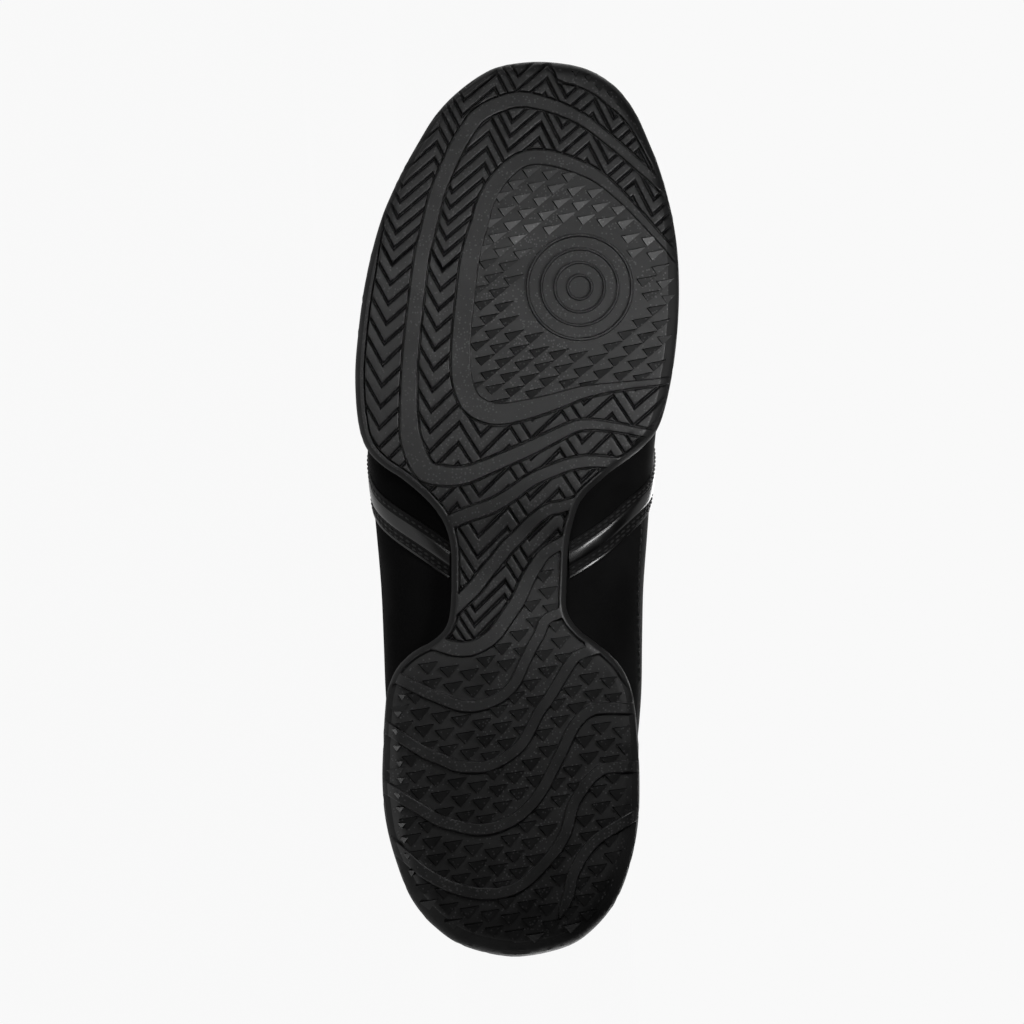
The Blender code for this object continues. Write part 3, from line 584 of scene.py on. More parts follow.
BLOTCHES = blotch_group()
GRAIN = grain_group()
SPECKS = speck_group()
WEAVE = weave_group()


def grouped(tree, group, inputs):
    return node(tree, "ShaderNodeGroup", inputs, node_tree=group).outputs


def grey(value):
    return (value, value, value * GREY_BLUE, 1.0)


def mix_colours(tree, mask, dark, light):
    mix = node(tree, "ShaderNodeMix", {0: mask}, data_type="RGBA")
    colours = [socket for socket in mix.inputs if socket.type == "RGBA"]
    feed(tree, colours[0], dark)
    feed(tree, colours[1], light)
    return next(socket for socket in mix.outputs if socket.type == "RGBA")


def surface(name, tones, rough, bump, blotches, grain, pores=0.5, specular=0.5, weave=None, specks=None,
            sockets=()):
    """A material with blotched colour and roughness, and a bump of grain, or of a weave over it.

    tones are its darkest and lightest grey, rough is the range of roughness, bump the strength and the depth
    in metres, blotches and grain are scales, weave is a coordinate and the threads per unit of it, and specks
    are their grey, scale and share.
    """
    material = bpy.data.materials.new(name)
    material.use_nodes = True
    tree = material.node_tree
    shader = tree.nodes["Principled BSDF"]
    spot = node(tree, "ShaderNodeTexCoord").outputs
    patches = grouped(tree, BLOTCHES, {"Vector": spot["Object"], "Scale": blotches})["Mask"]
    height = grouped(tree, GRAIN, {"Vector": spot["Object"], "Scale": grain, "Pores": pores})["Height"]
    mask = patches
    if weave:
        threads = grouped(tree, WEAVE, {"Vector": spot[weave[0]], "Scale": weave[1]})
        mask = math_value(tree, "MULTIPLY", threads["Mask"], patches)
        height = math_value(tree, "MULTIPLY_ADD", height, GRAIN_ON_WEAVE, threads["Height"])
    colour = mix_colours(tree, mask, grey(tones[0]), grey(tones[1]))
    if specks:
        spots = grouped(tree, SPECKS, {"Vector": spot["Object"], "Scale": specks[1], "Share": specks[2]})
        colour = mix_colours(tree, spots["Mask"], colour, grey(specks[0]))
    shine = map_range(tree, patches, {"To Min": rough[0], "To Max": rough[1]})
    relief = node(tree, "ShaderNodeBump", {"Height": height, "Strength": bump[0], "Distance": bump[1]})
    tree.links.new(colour, shader.inputs["Base Color"])
    tree.links.new(shine, shader.inputs["Roughness"])
    tree.links.new(relief.outputs["Normal"], shader.inputs["Normal"])
    shader.inputs["Specular IOR Level"].default_value = specular
    for socket, value in dict(sockets).items():
        shader.inputs[socket].default_value = value
    return material


# What the sole's three rubber materials share; the third is near-black painted shade for stud walls
RUBBER = {"bump": (0.35, 0.00012), "blotches": 90.0, "grain": 2200.0, "pores": 0.2}


def make_materials():
    return {
        "rubber": surface("moulded_rubber", (0.009, 0.014), (0.40, 0.52), specks=(0.055, 1000.0, 0.5),
                          **RUBBER),
        "rim": surface("matt_rubber", (0.009, 0.014), (0.62, 0.74), specular=0.3, **RUBBER),
        # Near-black matt rubber on the stud walls: painted shade that draws the dark outlines of walls turned
        # from the light
        "wall": surface("painted_shade_rubber", (0.002, 0.004), (0.8, 0.92), specular=0.1, **RUBBER),
        "suede": surface("black_suede", (0.0046, 0.0090), (0.86, 1.0), bump=(0.5, 0.00022), blotches=55.0,
                         grain=1900.0, pores=0.1, specular=0.06,
                         sockets={"Sheen Weight": 0.012, "Sheen Roughness": 0.6}),
        "lining": surface("lining_fabric", (0.008, 0.016), (0.85, 0.95), bump=(0.5, 0.00025), blotches=80.0,
                          grain=2200.0, specular=0.2, weave=("Object", 900.0)),
        "cloth": surface("tongue_fabric", (0.008, 0.018), (0.8, 0.92), bump=(0.6, 0.0003), blotches=70.0,
                         grain=2200.0, specular=0.25, weave=("Object", 700.0)),
        "gloss": surface("glossy_leather", (0.004, 0.007), (0.22, 0.30), bump=(0.04, 0.00005), blotches=120.0,
                         grain=900.0, pores=0.2),
        "hem": surface("matt_leather", (0.003, 0.006), (0.6, 0.75), bump=(0.3, 0.0001), blotches=120.0,
                       grain=1500.0, pores=0.3, specular=0.15),
        "thread": surface("black_thread", (0.010, 0.020), (0.5, 0.65), bump=(0.3, 0.0001), blotches=300.0,
                          grain=4000.0, specular=0.3),
        "cord": surface("lace_weave", (0.008, 0.020), (0.7, 0.85), bump=(0.7, 0.0003), blotches=150.0,
                        grain=3000.0, specular=0.3, weave=("UV", 1.0)),
        "eyelet": surface("painted_ring", (0.010, 0.016), (0.22, 0.38), bump=(0.12, 0.00005), blotches=400.0,
                          grain=3000.0, sockets={"Coat Weight": 0.3}),
    }


# The tread, cut from a flat sheet of small cells

CELL = 1.4                # of the sheet
SHEET_FROM, SHEET_TO = -55.0, 58.0    # reach of the sheet across the foot, past both edges of the sole
OUTLINE_STEPS = 6         # points of the outline for each row of the sole's edge
BAND_STEPS = 3            # and of a band's line for each of its rows
ROUND_LEVELS = (0.05, 0.16, 0.36, 0.64, 1.0)    # shares of the edge's radius with a line of points
FOLDS = np.arange(-5.0, 6.0)          # numbers of the folds and of the rows of ribs on the sole
ROWS = np.arange(-4.0, 37.0)
# How near to a cut a point of the sheet is set on it: in millimetres, radii, folds or rows
RIM_SNAP = 0.12
ROUND_SNAP = 0.02
SIDE_SNAP = 0.04
FOLD_SNAP = 0.004
ROW_SNAP = 0.006


class Sheet:
    """A flat sheet of convex faces in (u, v) that is cut along lines of a field."""

    def __init__(self, points):
        self.points = [tuple(point) for point in points]
        self.splits = {}

    def between(self, here, there):
        """The points that later cuts have set on an edge."""
        middle = self.splits.get((min(here, there), max(here, there)))
        if middle is None:
            return []
        return self.between(here, middle) + [middle] + self.between(middle, there)

    def whole(self, face):
        """A face with every point that lies on its edges."""
        found = []
        for here, there in zip(face, face[1:] + face[:1]):
            found.append(here)
            found += self.between(here, there)
        return found

    def sides(self, heights):
        """Which side of a cut each point of a face goes to; 0 is a point where the cut passes."""
        signs = [int(height > 0) - int(height < 0) for height in heights]
        count = len(signs)
        sides = list(signs)
        for place in range(count):
            if signs[place] == 0:
                before = next(signs[place - step] for step in range(1, count) if signs[place - step])
                after = next(signs[(place + step) % count] for step in range(1, count)
                             if signs[(place + step) % count])
                if before == after or signs[(place + 1) % count] == 0:
                    sides[place] = before
        return sides

    def halve(self, face, values, level):
        heights = [values[place] - level for place in face]
        if min(heights) >= 0 or max(heights) <= 0:
            return [face]
        sides = self.sides(heights)
        crossings = [side for side in sides if side != 0]
        if sum(here != there for here, there in zip(crossings, crossings[1:] + crossings[:1])) > 2:
            corners = [[face[0], here, there] for here, there in zip(face[1:], face[2:])]
            return [part for corner in corners for part in self.halve(corner, values, level)]
        above = []
        below = []
        for place, here in enumerate(face):
            there = face[(place + 1) % len(face)]
            first = heights[place]
            second = heights[(place + 1) % len(face)]
            if sides[place] >= 0:
                above.append(here)
            if sides[place] <= 0:
                below.append(here)
            if first * second < 0:
                edge = (min(here, there), max(here, there))
                if edge not in self.splits:
                    share = first / (first - second)
                    start = self.points[here]
                    end = self.points[there]
                    self.points.append(tuple(a + (b - a) * share for a, b in zip(start, end)))
                    self.splits[edge] = len(self.points) - 1
                middle = self.splits[edge]
                values[middle] = level
                above.append(middle)
                below.append(middle)
        return [above, below]

    def cut(self, faces, field, levels, snap):
        """Cuts faces where a field takes the given levels; values close to a level are set on it."""
        faces = [self.whole(face) for face in faces]
        used = sorted({place for face in faces for place in face})
        worth = field(np.array([self.points[place] for place in used]))
        levels = np.sort(np.asarray(levels, float))
        after = np.clip(np.searchsorted(levels, worth), 1, max(len(levels) - 1, 1))
        for near in (levels[np.minimum(after, len(levels) - 1)], levels[after - 1]):
            worth = np.where(np.abs(worth - near) < snap, near, worth)
        values = dict(zip(used, worth.tolist()))
        done = []
        for face in faces:
            pieces = [face]
            heights = [values[place] for place in face]
            first = bisect.bisect_right(levels, min(heights))
            last = bisect.bisect_left(levels, max(heights))
            for level in levels[first:last]:
                pieces = [part for piece in pieces for part in self.halve(piece, values, level)]
            done += pieces
        return done

    def middles(self, faces):
        return np.array([np.mean([self.points[place] for place in face], axis=0) for face in faces])


def closed_curve(points, steps):
    """A smooth closed curve through a ring of points."""
    points = np.asarray(points, float)
    ring = np.concatenate((points[-1:], points, points[:2]))
    return smooth_rows(ring, np.arange(1, len(points) + 1, 1 / steps))


def sole_outline():
    edge = np.array(SOLE_EDGE)
    medial = np.stack((edge[:, 0], edge[:, MEDIAL]), axis=1)
    lateral = np.stack((edge[:, 0], -edge[:, LATERAL]), axis=1)
    ring = np.concatenate(([(0.0, HEEL_TIP_V)], medial, [(LENGTH, TOE_TIP_V)], lateral[::-1]))
    return closed_curve(ring, OUTLINE_STEPS)


OUTLINE = sole_outline()
CLOSED_OUTLINE = np.concatenate((OUTLINE, OUTLINE[:1]))


def inside_ring(points, ring):
    """Which points lie inside a closed ring."""
    inside = np.zeros(len(points), bool)
    for start, end in zip(ring, np.roll(ring, -1, axis=0)):
        if start[1] == end[1]:
            continue
        crosses = (points[:, 1] < start[1]) != (points[:, 1] < end[1])
        at = start[0] + (points[:, 1] - start[1]) / (end[1] - start[1]) * (end[0] - start[0])
        inside ^= crosses & (points[:, 0] < at)
    return inside


def line_distance(points, line):
    """Distance of each point from a line of points, and the row of the line that is nearest."""
    best = np.full(len(points), np.inf)
    place = np.zeros(len(points))
    for row in range(len(line) - 1):
        run = line[row + 1, :2] - line[row, :2]
        offset = points - line[row, :2]
        share = np.clip(offset @ run / max(run @ run, TINY), 0.0, 1.0)
        distance = np.linalg.norm(offset - share[:, None] * run, axis=1)
        closer = distance < best
        best = np.where(closer, distance, best)
        place = np.where(closer, row + share, place)
    return best, place


def rim_distance(points):
    """Distance in from the sole's outline, below zero outside it."""
    distance = line_distance(points, CLOSED_OUTLINE)[0]
    return np.where(inside_ring(points, OUTLINE), distance, -distance)


def matt_distance(points):
    """Distance from the inner line of the matt edge, below zero on it."""
    lateral = along_foot(MATT_EDGE, points[:, 0], LATERAL)
    medial = along_foot(MATT_EDGE, points[:, 0], MEDIAL)
    return rim_distance(points) - np.where(points[:, 1] < 0, lateral, medial)


def run_on(band):
    """A band's line made smooth, and run on straight past both ends."""
    band = np.asarray(band, float)
    line = smooth_rows(band, np.linspace(0.0, len(band) - 1.0, BAND_STEPS * len(band)))
    ends = []
    for end, before in ((line[0], line[1]), (line[-1], line[-2])):
        away = end[:2] - before[:2]
        away *= BAND_RUN_ON / np.linalg.norm(away)
        ends.append(np.array((*(end[:2] + away), end[2])))
    return np.concatenate((ends[:1], line, ends[1:]))


BAND_LINES = [run_on(band) for band in BANDS]


def plain_distance(points):
    """Distance from the nearest smooth place of the tread, below zero on it."""
    u = points[:, 0]
    lateral = along_foot(BORDERS, u, LATERAL)
    medial = along_foot(BORDERS, u, MEDIAL)
    middle = along_foot(BORDER_SPLIT, u)
    share = np.clip((points[:, 1] - middle) / SPLIT_RUN + 0.5, 0.0, 1.0)
    best = rim_distance(points) - (lateral + (medial - lateral) * share)
    for line in BAND_LINES:
        distance, place = line_distance(points, line)
        half = np.interp(place, np.arange(len(line)), line[:, 2])
        best = np.minimum(best, distance - half)
    return best


def fold_place(points):
    """Where points lie across the zig-zag folds, in folds."""
    return (points[:, 1] - along_foot(FOLD_LINE, points[:, 0])) / FOLD_PITCH


def row_place(points):
    """Where points lie along the rows of zig-zag ribs, in rows; grooves lie on whole numbers."""
    fold = fold_place(points)
    share = fold - np.floor(fold)
    rise = np.minimum(share / FOLD_SPLIT, (1.0 - share) / (1.0 - FOLD_SPLIT))
    lean = along_foot(ROW_LEANS, points[:, 0])
    tip = points[:, 0] - ARM_RISE * rise + lean * fold * FOLD_PITCH
    return along_foot(ROW_MARKS, tip)


def spot_distance(points):
    return np.linalg.norm(points - np.array(SPOT), axis=1)


LOOP_RING = np.concatenate((BAND_LINES[LOOP_BAND][:, :2], LOOP_CLOSE))


def zones(points):
    """Which points lie among the studs of the ball, and which among those of the heel."""
    ball = inside_ring(points, LOOP_RING)
    line = BAND_LINES[HEEL_BAND][::-1]
    heel = points[:, 0] < np.interp(points[:, 1], line[:, 1], line[:, 0])
    return ball, heel


def ramp(values, low, high):
    return np.clip((values - low) / (high - low), 0.0, 1.0)


def row_width(row):
    """Width of a row of ribs, square to its arms."""
    places, marks = np.array(ROW_MARKS, float)[::-1].T
    ahead = np.interp(row - 1.0, marks, places)
    behind = np.interp(row + 1.0, marks, places)
    return ARM_SQUARE * (ahead - behind) / 2.0


def tread_heights(points):
    """Height of the sheet as a share of the tread's depth: 1 on the tops, 0 on the floor."""
    plain = plain_distance(points)
    ball, heel = zones(points)
    top = profile(plain, PLAIN_SIDE)
    row = row_place(points)
    groove = np.round(row)
    rib = profile(np.abs(row - groove) * row_width(groove), GROOVE_SIDE)
    rib = np.minimum(rib, profile(plain, RIB_SIDE))
    rib = np.where(ball | heel, 0.0, rib)
    spot = spot_distance(points)
    for radius, half in SPOT_RINGS:
        off = np.abs(spot - radius) - half
        rib = np.maximum(rib, np.where(ball, 1.0 - ramp(off, -RING_SIDE, 0.0), 0.0))
    rim = 1.0 - ramp(rim_distance(points), 0.0, RIM_TAPER)
    return np.maximum(np.maximum(top, rib), rim ** 2)


def ground_line(u):
    spring = TOE_SPRING * np.clip((u - SPRING_START) / (LENGTH - SPRING_START), 0.0, 1.0) ** SPRING_POWER
    heel = HEEL_LIFT * np.clip(1.0 - u / HEEL_BEVEL, 0.0, 1.0) ** 2
    across = np.clip((u - ARCH_FROM) / (ARCH_TO - ARCH_FROM), 0.0, 1.0)
    return spring + heel + ARCH_RISE * np.sin(math.pi * across) ** 2


def tread_places(points, heights):
    """Places of the tread in the shoe's frame, set into the sole by what its height lacks."""
    points = np.asarray(points, float)
    u = points[:, 0]
    distance, row = line_distance(points, CLOSED_OUTLINE)
    distance = np.where(inside_ring(points, OUTLINE), distance, 0.0)
    run = np.diff(CLOSED_OUTLINE, axis=0)
    out = np.stack((run[:, 1], -run[:, 0]), axis=1)
    out /= np.maximum(np.linalg.norm(out, axis=1, keepdims=True), TINY)
    middle = OUTLINE.mean(axis=0)
    if np.sum((OUTLINE - middle) * out) < 0:
        out = -out
    out = out[np.minimum(row.astype(int), len(out) - 1)]
    radius = along_foot(EDGE_ROUNDS, u)
    lean = np.clip(1.0 - distance / radius, 0.0, 1.0)
    flat = np.sqrt(1.0 - lean ** 2)
    slope = ground_line(u + 0.5) - ground_line(u - 0.5)
    down = unit(np.stack((slope, np.zeros_like(u), -np.ones_like(u)), axis=1))
    normal = np.concatenate((out * lean[:, None], np.zeros((len(u), 1))), axis=1) + down * flat[:, None]
    base = np.stack((u, points[:, 1], ground_line(u) + radius * (1.0 - flat)), axis=1)
    return base - normal * ((1.0 - np.asarray(heights)) * TREAD_DEPTH)[:, None]


def tread_sheet():
    """The tread as points in (u, v), and faces cut along every edge of its ribs, bands and rings."""
    u = np.arange(-CELL, LENGTH + 2 * CELL, CELL)
    v = np.arange(SHEET_FROM, SHEET_TO, CELL)
    sheet = Sheet(np.stack(np.meshgrid(u, v, indexing="ij"), axis=2).reshape(-1, 2))
    faces = [list(face) for face in grid_faces(len(u), len(v))]
    middles = sheet.middles(faces)
    near = rim_distance(middles) > -CELL
    faces = [face for face, keep in zip(faces, near) if keep]
    faces = sheet.cut(faces, rim_distance, (0.0,), RIM_SNAP)
    faces = [face for face, rim in zip(faces, rim_distance(sheet.middles(faces))) if rim > 0]
    faces = sheet.cut(faces, matt_distance, (0.0,), RIM_SNAP)

    def rim_share(points):
        return rim_distance(points) / along_foot(EDGE_ROUNDS, points[:, 0])

    faces = sheet.cut(faces, rim_share, ROUND_LEVELS, ROUND_SNAP)
    faces = sheet.cut(faces, plain_distance, [level for level, _ in PLAIN_SIDE + RIB_SIDE], SIDE_SNAP)
    middles = sheet.middles(faces)
    ball, heel = zones(middles)
    open_tread = plain_distance(middles) > RIB_SIDE[0][0]
    ribbed = open_tread & ~ball & ~heel
    ringed = open_tread & ball & (spot_distance(middles) < SPOT_PATCH)
    ribs = [face for face, keep in zip(faces, ribbed) if keep]
    rings = [face for face, keep in zip(faces, ringed) if keep]
    rest = [face for face, other in zip(faces, ribbed | ringed) if not other]
    ribs = sheet.cut(ribs, fold_place, np.concatenate((FOLDS, FOLDS + FOLD_SPLIT)), FOLD_SNAP)
    edges = [ROWS + side * half / row_width(ROWS) for side in (-1, 1) for half, _ in GROOVE_SIDE]
    ribs = sheet.cut(ribs, row_place, np.concatenate(edges), ROW_SNAP)
    circles = sorted({radius + side * half - inset for radius, half in SPOT_RINGS for side in (-1, 1)
                      for inset in (0.0, side * RING_SIDE)})
    rings = sheet.cut(rings, spot_distance, circles, SIDE_SNAP)
    faces = [sheet.whole(face) for face in rest + ribs + rings]
    used = sorted({place for face in faces for place in face})
    renumber = {old: new for new, old in enumerate(used)}
    points = np.array([sheet.points[place] for place in used])
    return points, [[renumber[place] for place in face] for face in faces]


def border_loop(faces):
    """The points round the open edge of a sheet, in order."""
    once = {}
    for face in faces:
        for here, there in zip(face, face[1:] + face[:1]):
            if (there, here) in once:
                del once[(there, here)]
            else:
                once[(here, there)] = True
    follow = dict(once.keys())
    loop = [next(iter(follow))]
    for _ in range(len(follow) - 1):
        loop.append(follow[loop[-1]])
    if follow[loop[-1]] != loop[0] or len(set(loop)) != len(once):
        raise ValueError("the sheet's open edge is not one ring")
    return loop


def stud_rows(studs, chosen):
    """Corner places and heights of the studs of one lattice that lie in their zone."""
    reach = np.arange(-STUD_REACH, STUD_REACH + 1)
    across, along = np.meshgrid(reach, reach, indexing="ij")
    steps = across.reshape(-1, 1) * np.array(studs["step"])
    centres = np.array(studs["anchor"]) + steps + along.reshape(-1, 1) * np.array(studs["row"])
    centres = centres[rim_distance(centres) > studs["from_rim"]]
    centres = centres[chosen(centres)]
    centres = centres[plain_distance(centres) > STUD_APART]
    middle = centres[:, None, :]
    corners = middle + np.array(studs["corners"])[None]
    for _ in range(STUD_PULLS):
        outside = rim_distance(corners.reshape(-1, 2)).reshape(-1, 3) < STUD_INSIDE
        drawn_in = corners * (1.0 - STUD_PULL) + middle * STUD_PULL
        corners = np.where(outside[:, :, None], drawn_in, corners)
    u, *heights = np.array(studs["heights"]).T
    return corners, np.stack([np.interp(centres[:, 0], u, height) for height in heights], axis=1)


def rim_studs():
    """Small raised studs near the edge of the sole; their tops stand proud of it."""
    corners = np.array(RIM_STUDS)[:, None, :] + np.array(RIM_STUD_CORNERS)[None]
    return corners, np.full((len(RIM_STUDS), 3), RIM_STUD_HEIGHT)


def stud_pieces():
    """Points, faces and materials of all wedge studs, each a small closed wedge that stands on the floor,
    with painted shade on some walls.
    """
    def at_ball(centres):
        return zones(centres)[0] & (spot_distance(centres) > SPOT_PATCH + SPOT_CLEAR)

    def at_heel(centres):
        return zones(centres)[1]

    groups = (stud_rows(STUDS_BALL, at_ball), stud_rows(STUDS_HEEL, at_heel), rim_studs())
    corners = np.concatenate([places for places, _ in groups])
    raised = np.concatenate([heights for _, heights in groups])
    middle = corners.mean(axis=1, keepdims=True)
    tops = middle + (corners - middle) * STUD_DRAFT + np.array(STUD_LEAN)
    places = np.concatenate((corners, tops), axis=1).reshape(-1, 2)
    heights = np.concatenate((np.full_like(raised, STUD_SINK), raised), axis=1)
    wedges = tread_places(places, heights.reshape(-1)).reshape(len(corners), 6, 3)
    level = wedges[-len(RIM_STUDS):, 3:, 2].min(axis=1, keepdims=True)
    wedges[-len(RIM_STUDS):, 3:, 2] = level + np.array(RIM_STUD_TILT)
    points, faces = joined([(wedge, WEDGE_FACES) for wedge in wedges])
    inner = len(corners) - len(RIM_STUDS)
    return points, faces, [*STUD_PAINTED_SHADE_FACES] * inner + [*RIM_STUD_PAINTED_SHADE_FACES] * len(RIM_STUDS)


# The sole's side and top, over the rim of its tread

TOP_CELL = 4.0            # of the sole's top, under the foot
INWARD_ROUNDS = 30        # that even out the directions into the sole
SIDE_SHARES = (0.35, 0.7)     # of the way up the side, each with a ring of points
LIP_INSET = 0.35          # how far in the height of the lip is read
LIP_LEAST = 0.4           # least height of the lip over the rim
LIP_UNDER = (0.5, 0.2)    # drop of the ring under the lip, and its least share of the way up
LIP_ROUND = (0.25, 0.08)      # inset and drop of the ring on the lip's round
TOP_INSETS = (0.7, 1.4, 2.4, 3.6)
TOP_FROM_RIM = 5.0        # least distance of the points on the top from the rim
ABOVE_SOLE = 90.0         # height from which the top of the solid is looked for


def cad_tree(name):
    mesh = frame["nodes"][name].data
    points = in_shoe([vertex.co for vertex in mesh.vertices])
    return BVHTree.FromPolygons(points.tolist(), [tuple(face.vertices) for face in mesh.polygons])


def top_over(solid, spots):
    """Height of a solid's top over (u, v) spots."""
    found = []
    for spot in spots:
        hit = solid.ray_cast(Vector((*spot, ABOVE_SOLE)), Vector((0.0, 0.0, -1.0)))[0]
        found.append(np.nan if hit is None else hit.z)
    found = np.array(found)
    known = ~np.isnan(found)
    return np.interp(np.arange(len(found)), np.flatnonzero(known), found[known])


def rim_inward(rim):
    """Directions from the rim into the sole."""
    run = np.roll(rim, -1, axis=0) - np.roll(rim, 1, axis=0)
    inward = unit(np.stack((-run[:, 1], run[:, 0]), axis=1))
    if rim_distance(rim + inward).mean() < 0:
        inward = -inward
    for _ in range(INWARD_ROUNDS):
        inward = unit(np.roll(inward, 1, axis=0) + 2.0 * inward + np.roll(inward, -1, axis=0))
    return inward


def make_outsole(materials):
    flat, faces = tread_sheet()
    points = list(tread_places(flat, tread_heights(flat)))
    loop = border_loop(faces)
    solid = cad_tree("outsole")
    rim = flat[loop]
    inward = rim_inward(rim)
    low = np.array([points[place][2] for place in loop])
    lip = np.maximum(top_over(solid, rim + inward * LIP_INSET), low + LIP_LEAST)

    def add_points(spots, heights):
        """Adds points over (u, v) spots, and gives their numbers."""
        first = len(points)
        points.extend(np.array((*spot, height)) for spot, height in zip(spots, heights))
        return list(range(first, len(points)))

    rings = [loop]
    for share in SIDE_SHARES:
        rings.append(add_points(rim, low + (lip - low) * share))
    under, least = LIP_UNDER
    rings.append(add_points(rim, np.maximum(lip - under, low + least * (lip - low))))
    inset, drop = LIP_ROUND
    rings.append(add_points(rim + inward * inset, lip - drop))
    for inset in TOP_INSETS:
        spots = rim + inward * inset
        rings.append(add_points(spots, top_over(solid, spots)))
    middles = np.array([flat[face].mean(axis=0) for face in faces])
    finishes = list((matt_distance(middles) < 0).astype(int)) + [1] * len(loop) * (len(rings) - 1)
    for outer, inner in zip(rings, rings[1:]):
        for place in range(len(loop)):
            following = (place + 1) % len(loop)
            faces.append([outer[following], outer[place], inner[place], inner[following]])
    grid = np.meshgrid(np.arange(0.0, LENGTH, TOP_CELL), np.arange(SHEET_FROM, SHEET_TO, TOP_CELL))
    grid = np.stack(grid, axis=2).reshape(-1, 2)
    grid = grid[rim_distance(grid) > TOP_FROM_RIM]
    places = rings[-1] + add_points(grid, top_over(solid, grid))
    spots = [Vector(points[place][:2]) for place in places]
    made = delaunay_2d_cdt(spots, [], [list(range(len(loop)))], 1, TINY)
    if len(made[0]) != len(spots):
        raise ValueError("the top of the sole folds over itself")
    faces += [[places[made[3][corner][0]] for corner in face] for face in made[2]]
    finishes += [0] * (len(faces) - len(finishes))
    studs, stud_faces, stud_materials_with_shade = stud_pieces()
    points, faces = joined([(np.array(points), faces), (studs, stud_faces)])
    # The third material, on the stud walls, is near-black painted shade
    tread_materials = [materials[finish] for finish in ("rubber", "rim", "wall")]
    outsole = new_piece("outsole_tread", points, faces, tread_materials, merge=0.004,
                        finishes=finishes + stud_materials_with_shade)
    return finish_piece(outsole, 24, ("outsole",))


# The upper and what is sewn to it

STATION_PITCH = 0.2
THROAT_STATIONS = (VAMP_POINT, VAMP_POINT + 0.06, VAMP_POINT + 0.14)
COLLAR_STATIONS = (COLLAR_BAND_START, COLLAR_BAND_START + 0.04, COLLAR_BAND_START + 0.08, 24.8, 24.95, 25.2,
                   25.5, 25.7, 25.85, 25.92, 25.97, COLLAR)
# The raised, softly rounded band round the collar: station and height
COLLAR_RISE = ((COLLAR_BAND_START, 0.0), (COLLAR_BAND_START + 0.08, 0.75 * COLLAR_STEP), (24.95, 1.25),
               (25.5, 1.35), (25.85, COLLAR_STEP), (25.96, 0.5), (COLLAR, 0.0))
# Shares of the way from the slot to the eyestay with a row of points, each gap then split
WALL_COLUMNS = (0.0, 0.14, 0.26, 0.35, 0.43, 0.51, 0.60, 0.72, 0.86, 1.0)
WALL_SPLIT = 4
# Shares of the way across the eyestay, and of its step there
STAY_COLUMNS = ((0.0, 0.7), (0.05, 1.0), (0.25, 1.0), (0.5, 1.0), (0.75, 1.0), (0.95, 0.95), (1.0, 0.7))
STAY_MOST, STEP_MOST = 0.2, 0.01    # largest shares of a section that the eyestay and its step take
STAY_RAMP = 8.0           # rise of the eyestay's step behind the vamp's point, as a share for each station
# Soft creases: middle station, run in stations, shares from and to, depth
CREASES = ((7.7, 0.28, 0.50, 0.98, 0.7), (8.35, 0.22, 0.42, 0.80, 0.8), (9.3, 0.25, 0.45, 0.75, 0.5),
           (19.6, 0.35, 0.30, 0.80, 0.9), (21.0, 0.32, 0.25, 0.70, 0.8))
CREASE_SWELL = 0.6        # how much the leather beside a crease stands up
EYELETS_FROM, EYELETS_TO = VAMP_POINT + 0.6, COLLAR - 1.6
EYELET_STEPS = 200        # of the line along which the eyelets are spaced
HOLE_SIDES = 20
HOLE_DEPTH = 8.0


def crease_lift(station, shares):
    lift = np.zeros_like(shares)
    for middle, run, start, end, depth in CREASES:
        across = (station - middle) / run
        along = np.sin(math.pi * np.clip((shares - start) / (end - start), 0.0, 1.0)) ** 2
        lift -= depth * (1.0 - CREASE_SWELL * across ** 2) * math.exp(-across ** 2) * along
    return lift


def upper_stations():
    even = np.arange(0.0, COLLAR_BAND_START, STATION_PITCH)
    return np.unique(np.round(np.concatenate((even, THROAT_STATIONS, COLLAR_STATIONS)), 4))


def upper_half(side, stations):
    """Grid of the outer wall on one side: a row for each station, columns from slot to throat."""
    gaps = len(WALL_COLUMNS) - 1
    places = np.linspace(0.0, gaps, WALL_SPLIT * gaps + 1)
    shares_of_wall = np.interp(places, np.arange(gaps + 1.0), WALL_COLUMNS)
    shares_of_stay, shares_of_step = np.array(STAY_COLUMNS).T
    grid = []
    for station in stations:
        slot, throat, length = opening_shares(station, side)
        edge = throat - min(EYESTAY_WIDTH / length, STAY_MOST)
        step = min(STEP_RUN / length, STEP_MOST)
        raised = EYESTAY_STEP * np.clip((station - VAMP_POINT) * STAY_RAMP, 0.0, 1.0)
        stay = edge + (throat - edge) * shares_of_stay
        wall = slot + (edge - step - slot) * shares_of_wall
        band = profile(station, COLLAR_RISE)
        lifts = np.concatenate((band + crease_lift(station, wall), np.maximum(raised * shares_of_step, band)))
        grid.append(form_points(station, side, np.concatenate((wall, stay)), lifts))
    return np.array(grid)


def eyelet_stations():
    """Stations of the eyelet pairs, evenly spaced along the top of the throat."""
    stations = np.linspace(EYELETS_FROM, EYELETS_TO, EYELET_STEPS)
    lengths = lengths_along(np.array([surface_points(station, 1, [1.0])[0] for station in stations]))
    return np.interp(np.linspace(0.0, lengths[-1], EYELET_PAIRS), lengths, stations)


def eyelet_frame(station, side, lift):
    """Centre of an eyelet on the eyestay, and its axes: along the throat, across it and outwards."""
    _, throat, length = opening_shares(station, side)
    share = [throat - EYELET_INSET / length]
    centre = form_points(station, side, share, lift)[0]
    normal = form_normals(station, side, share)[0]
    along = form_points(station + 0.1, side, share, lift)[0] - centre
    along -= normal * np.dot(along, normal)
    along /= np.linalg.norm(along)
    return centre, along, np.cross(normal, along), normal


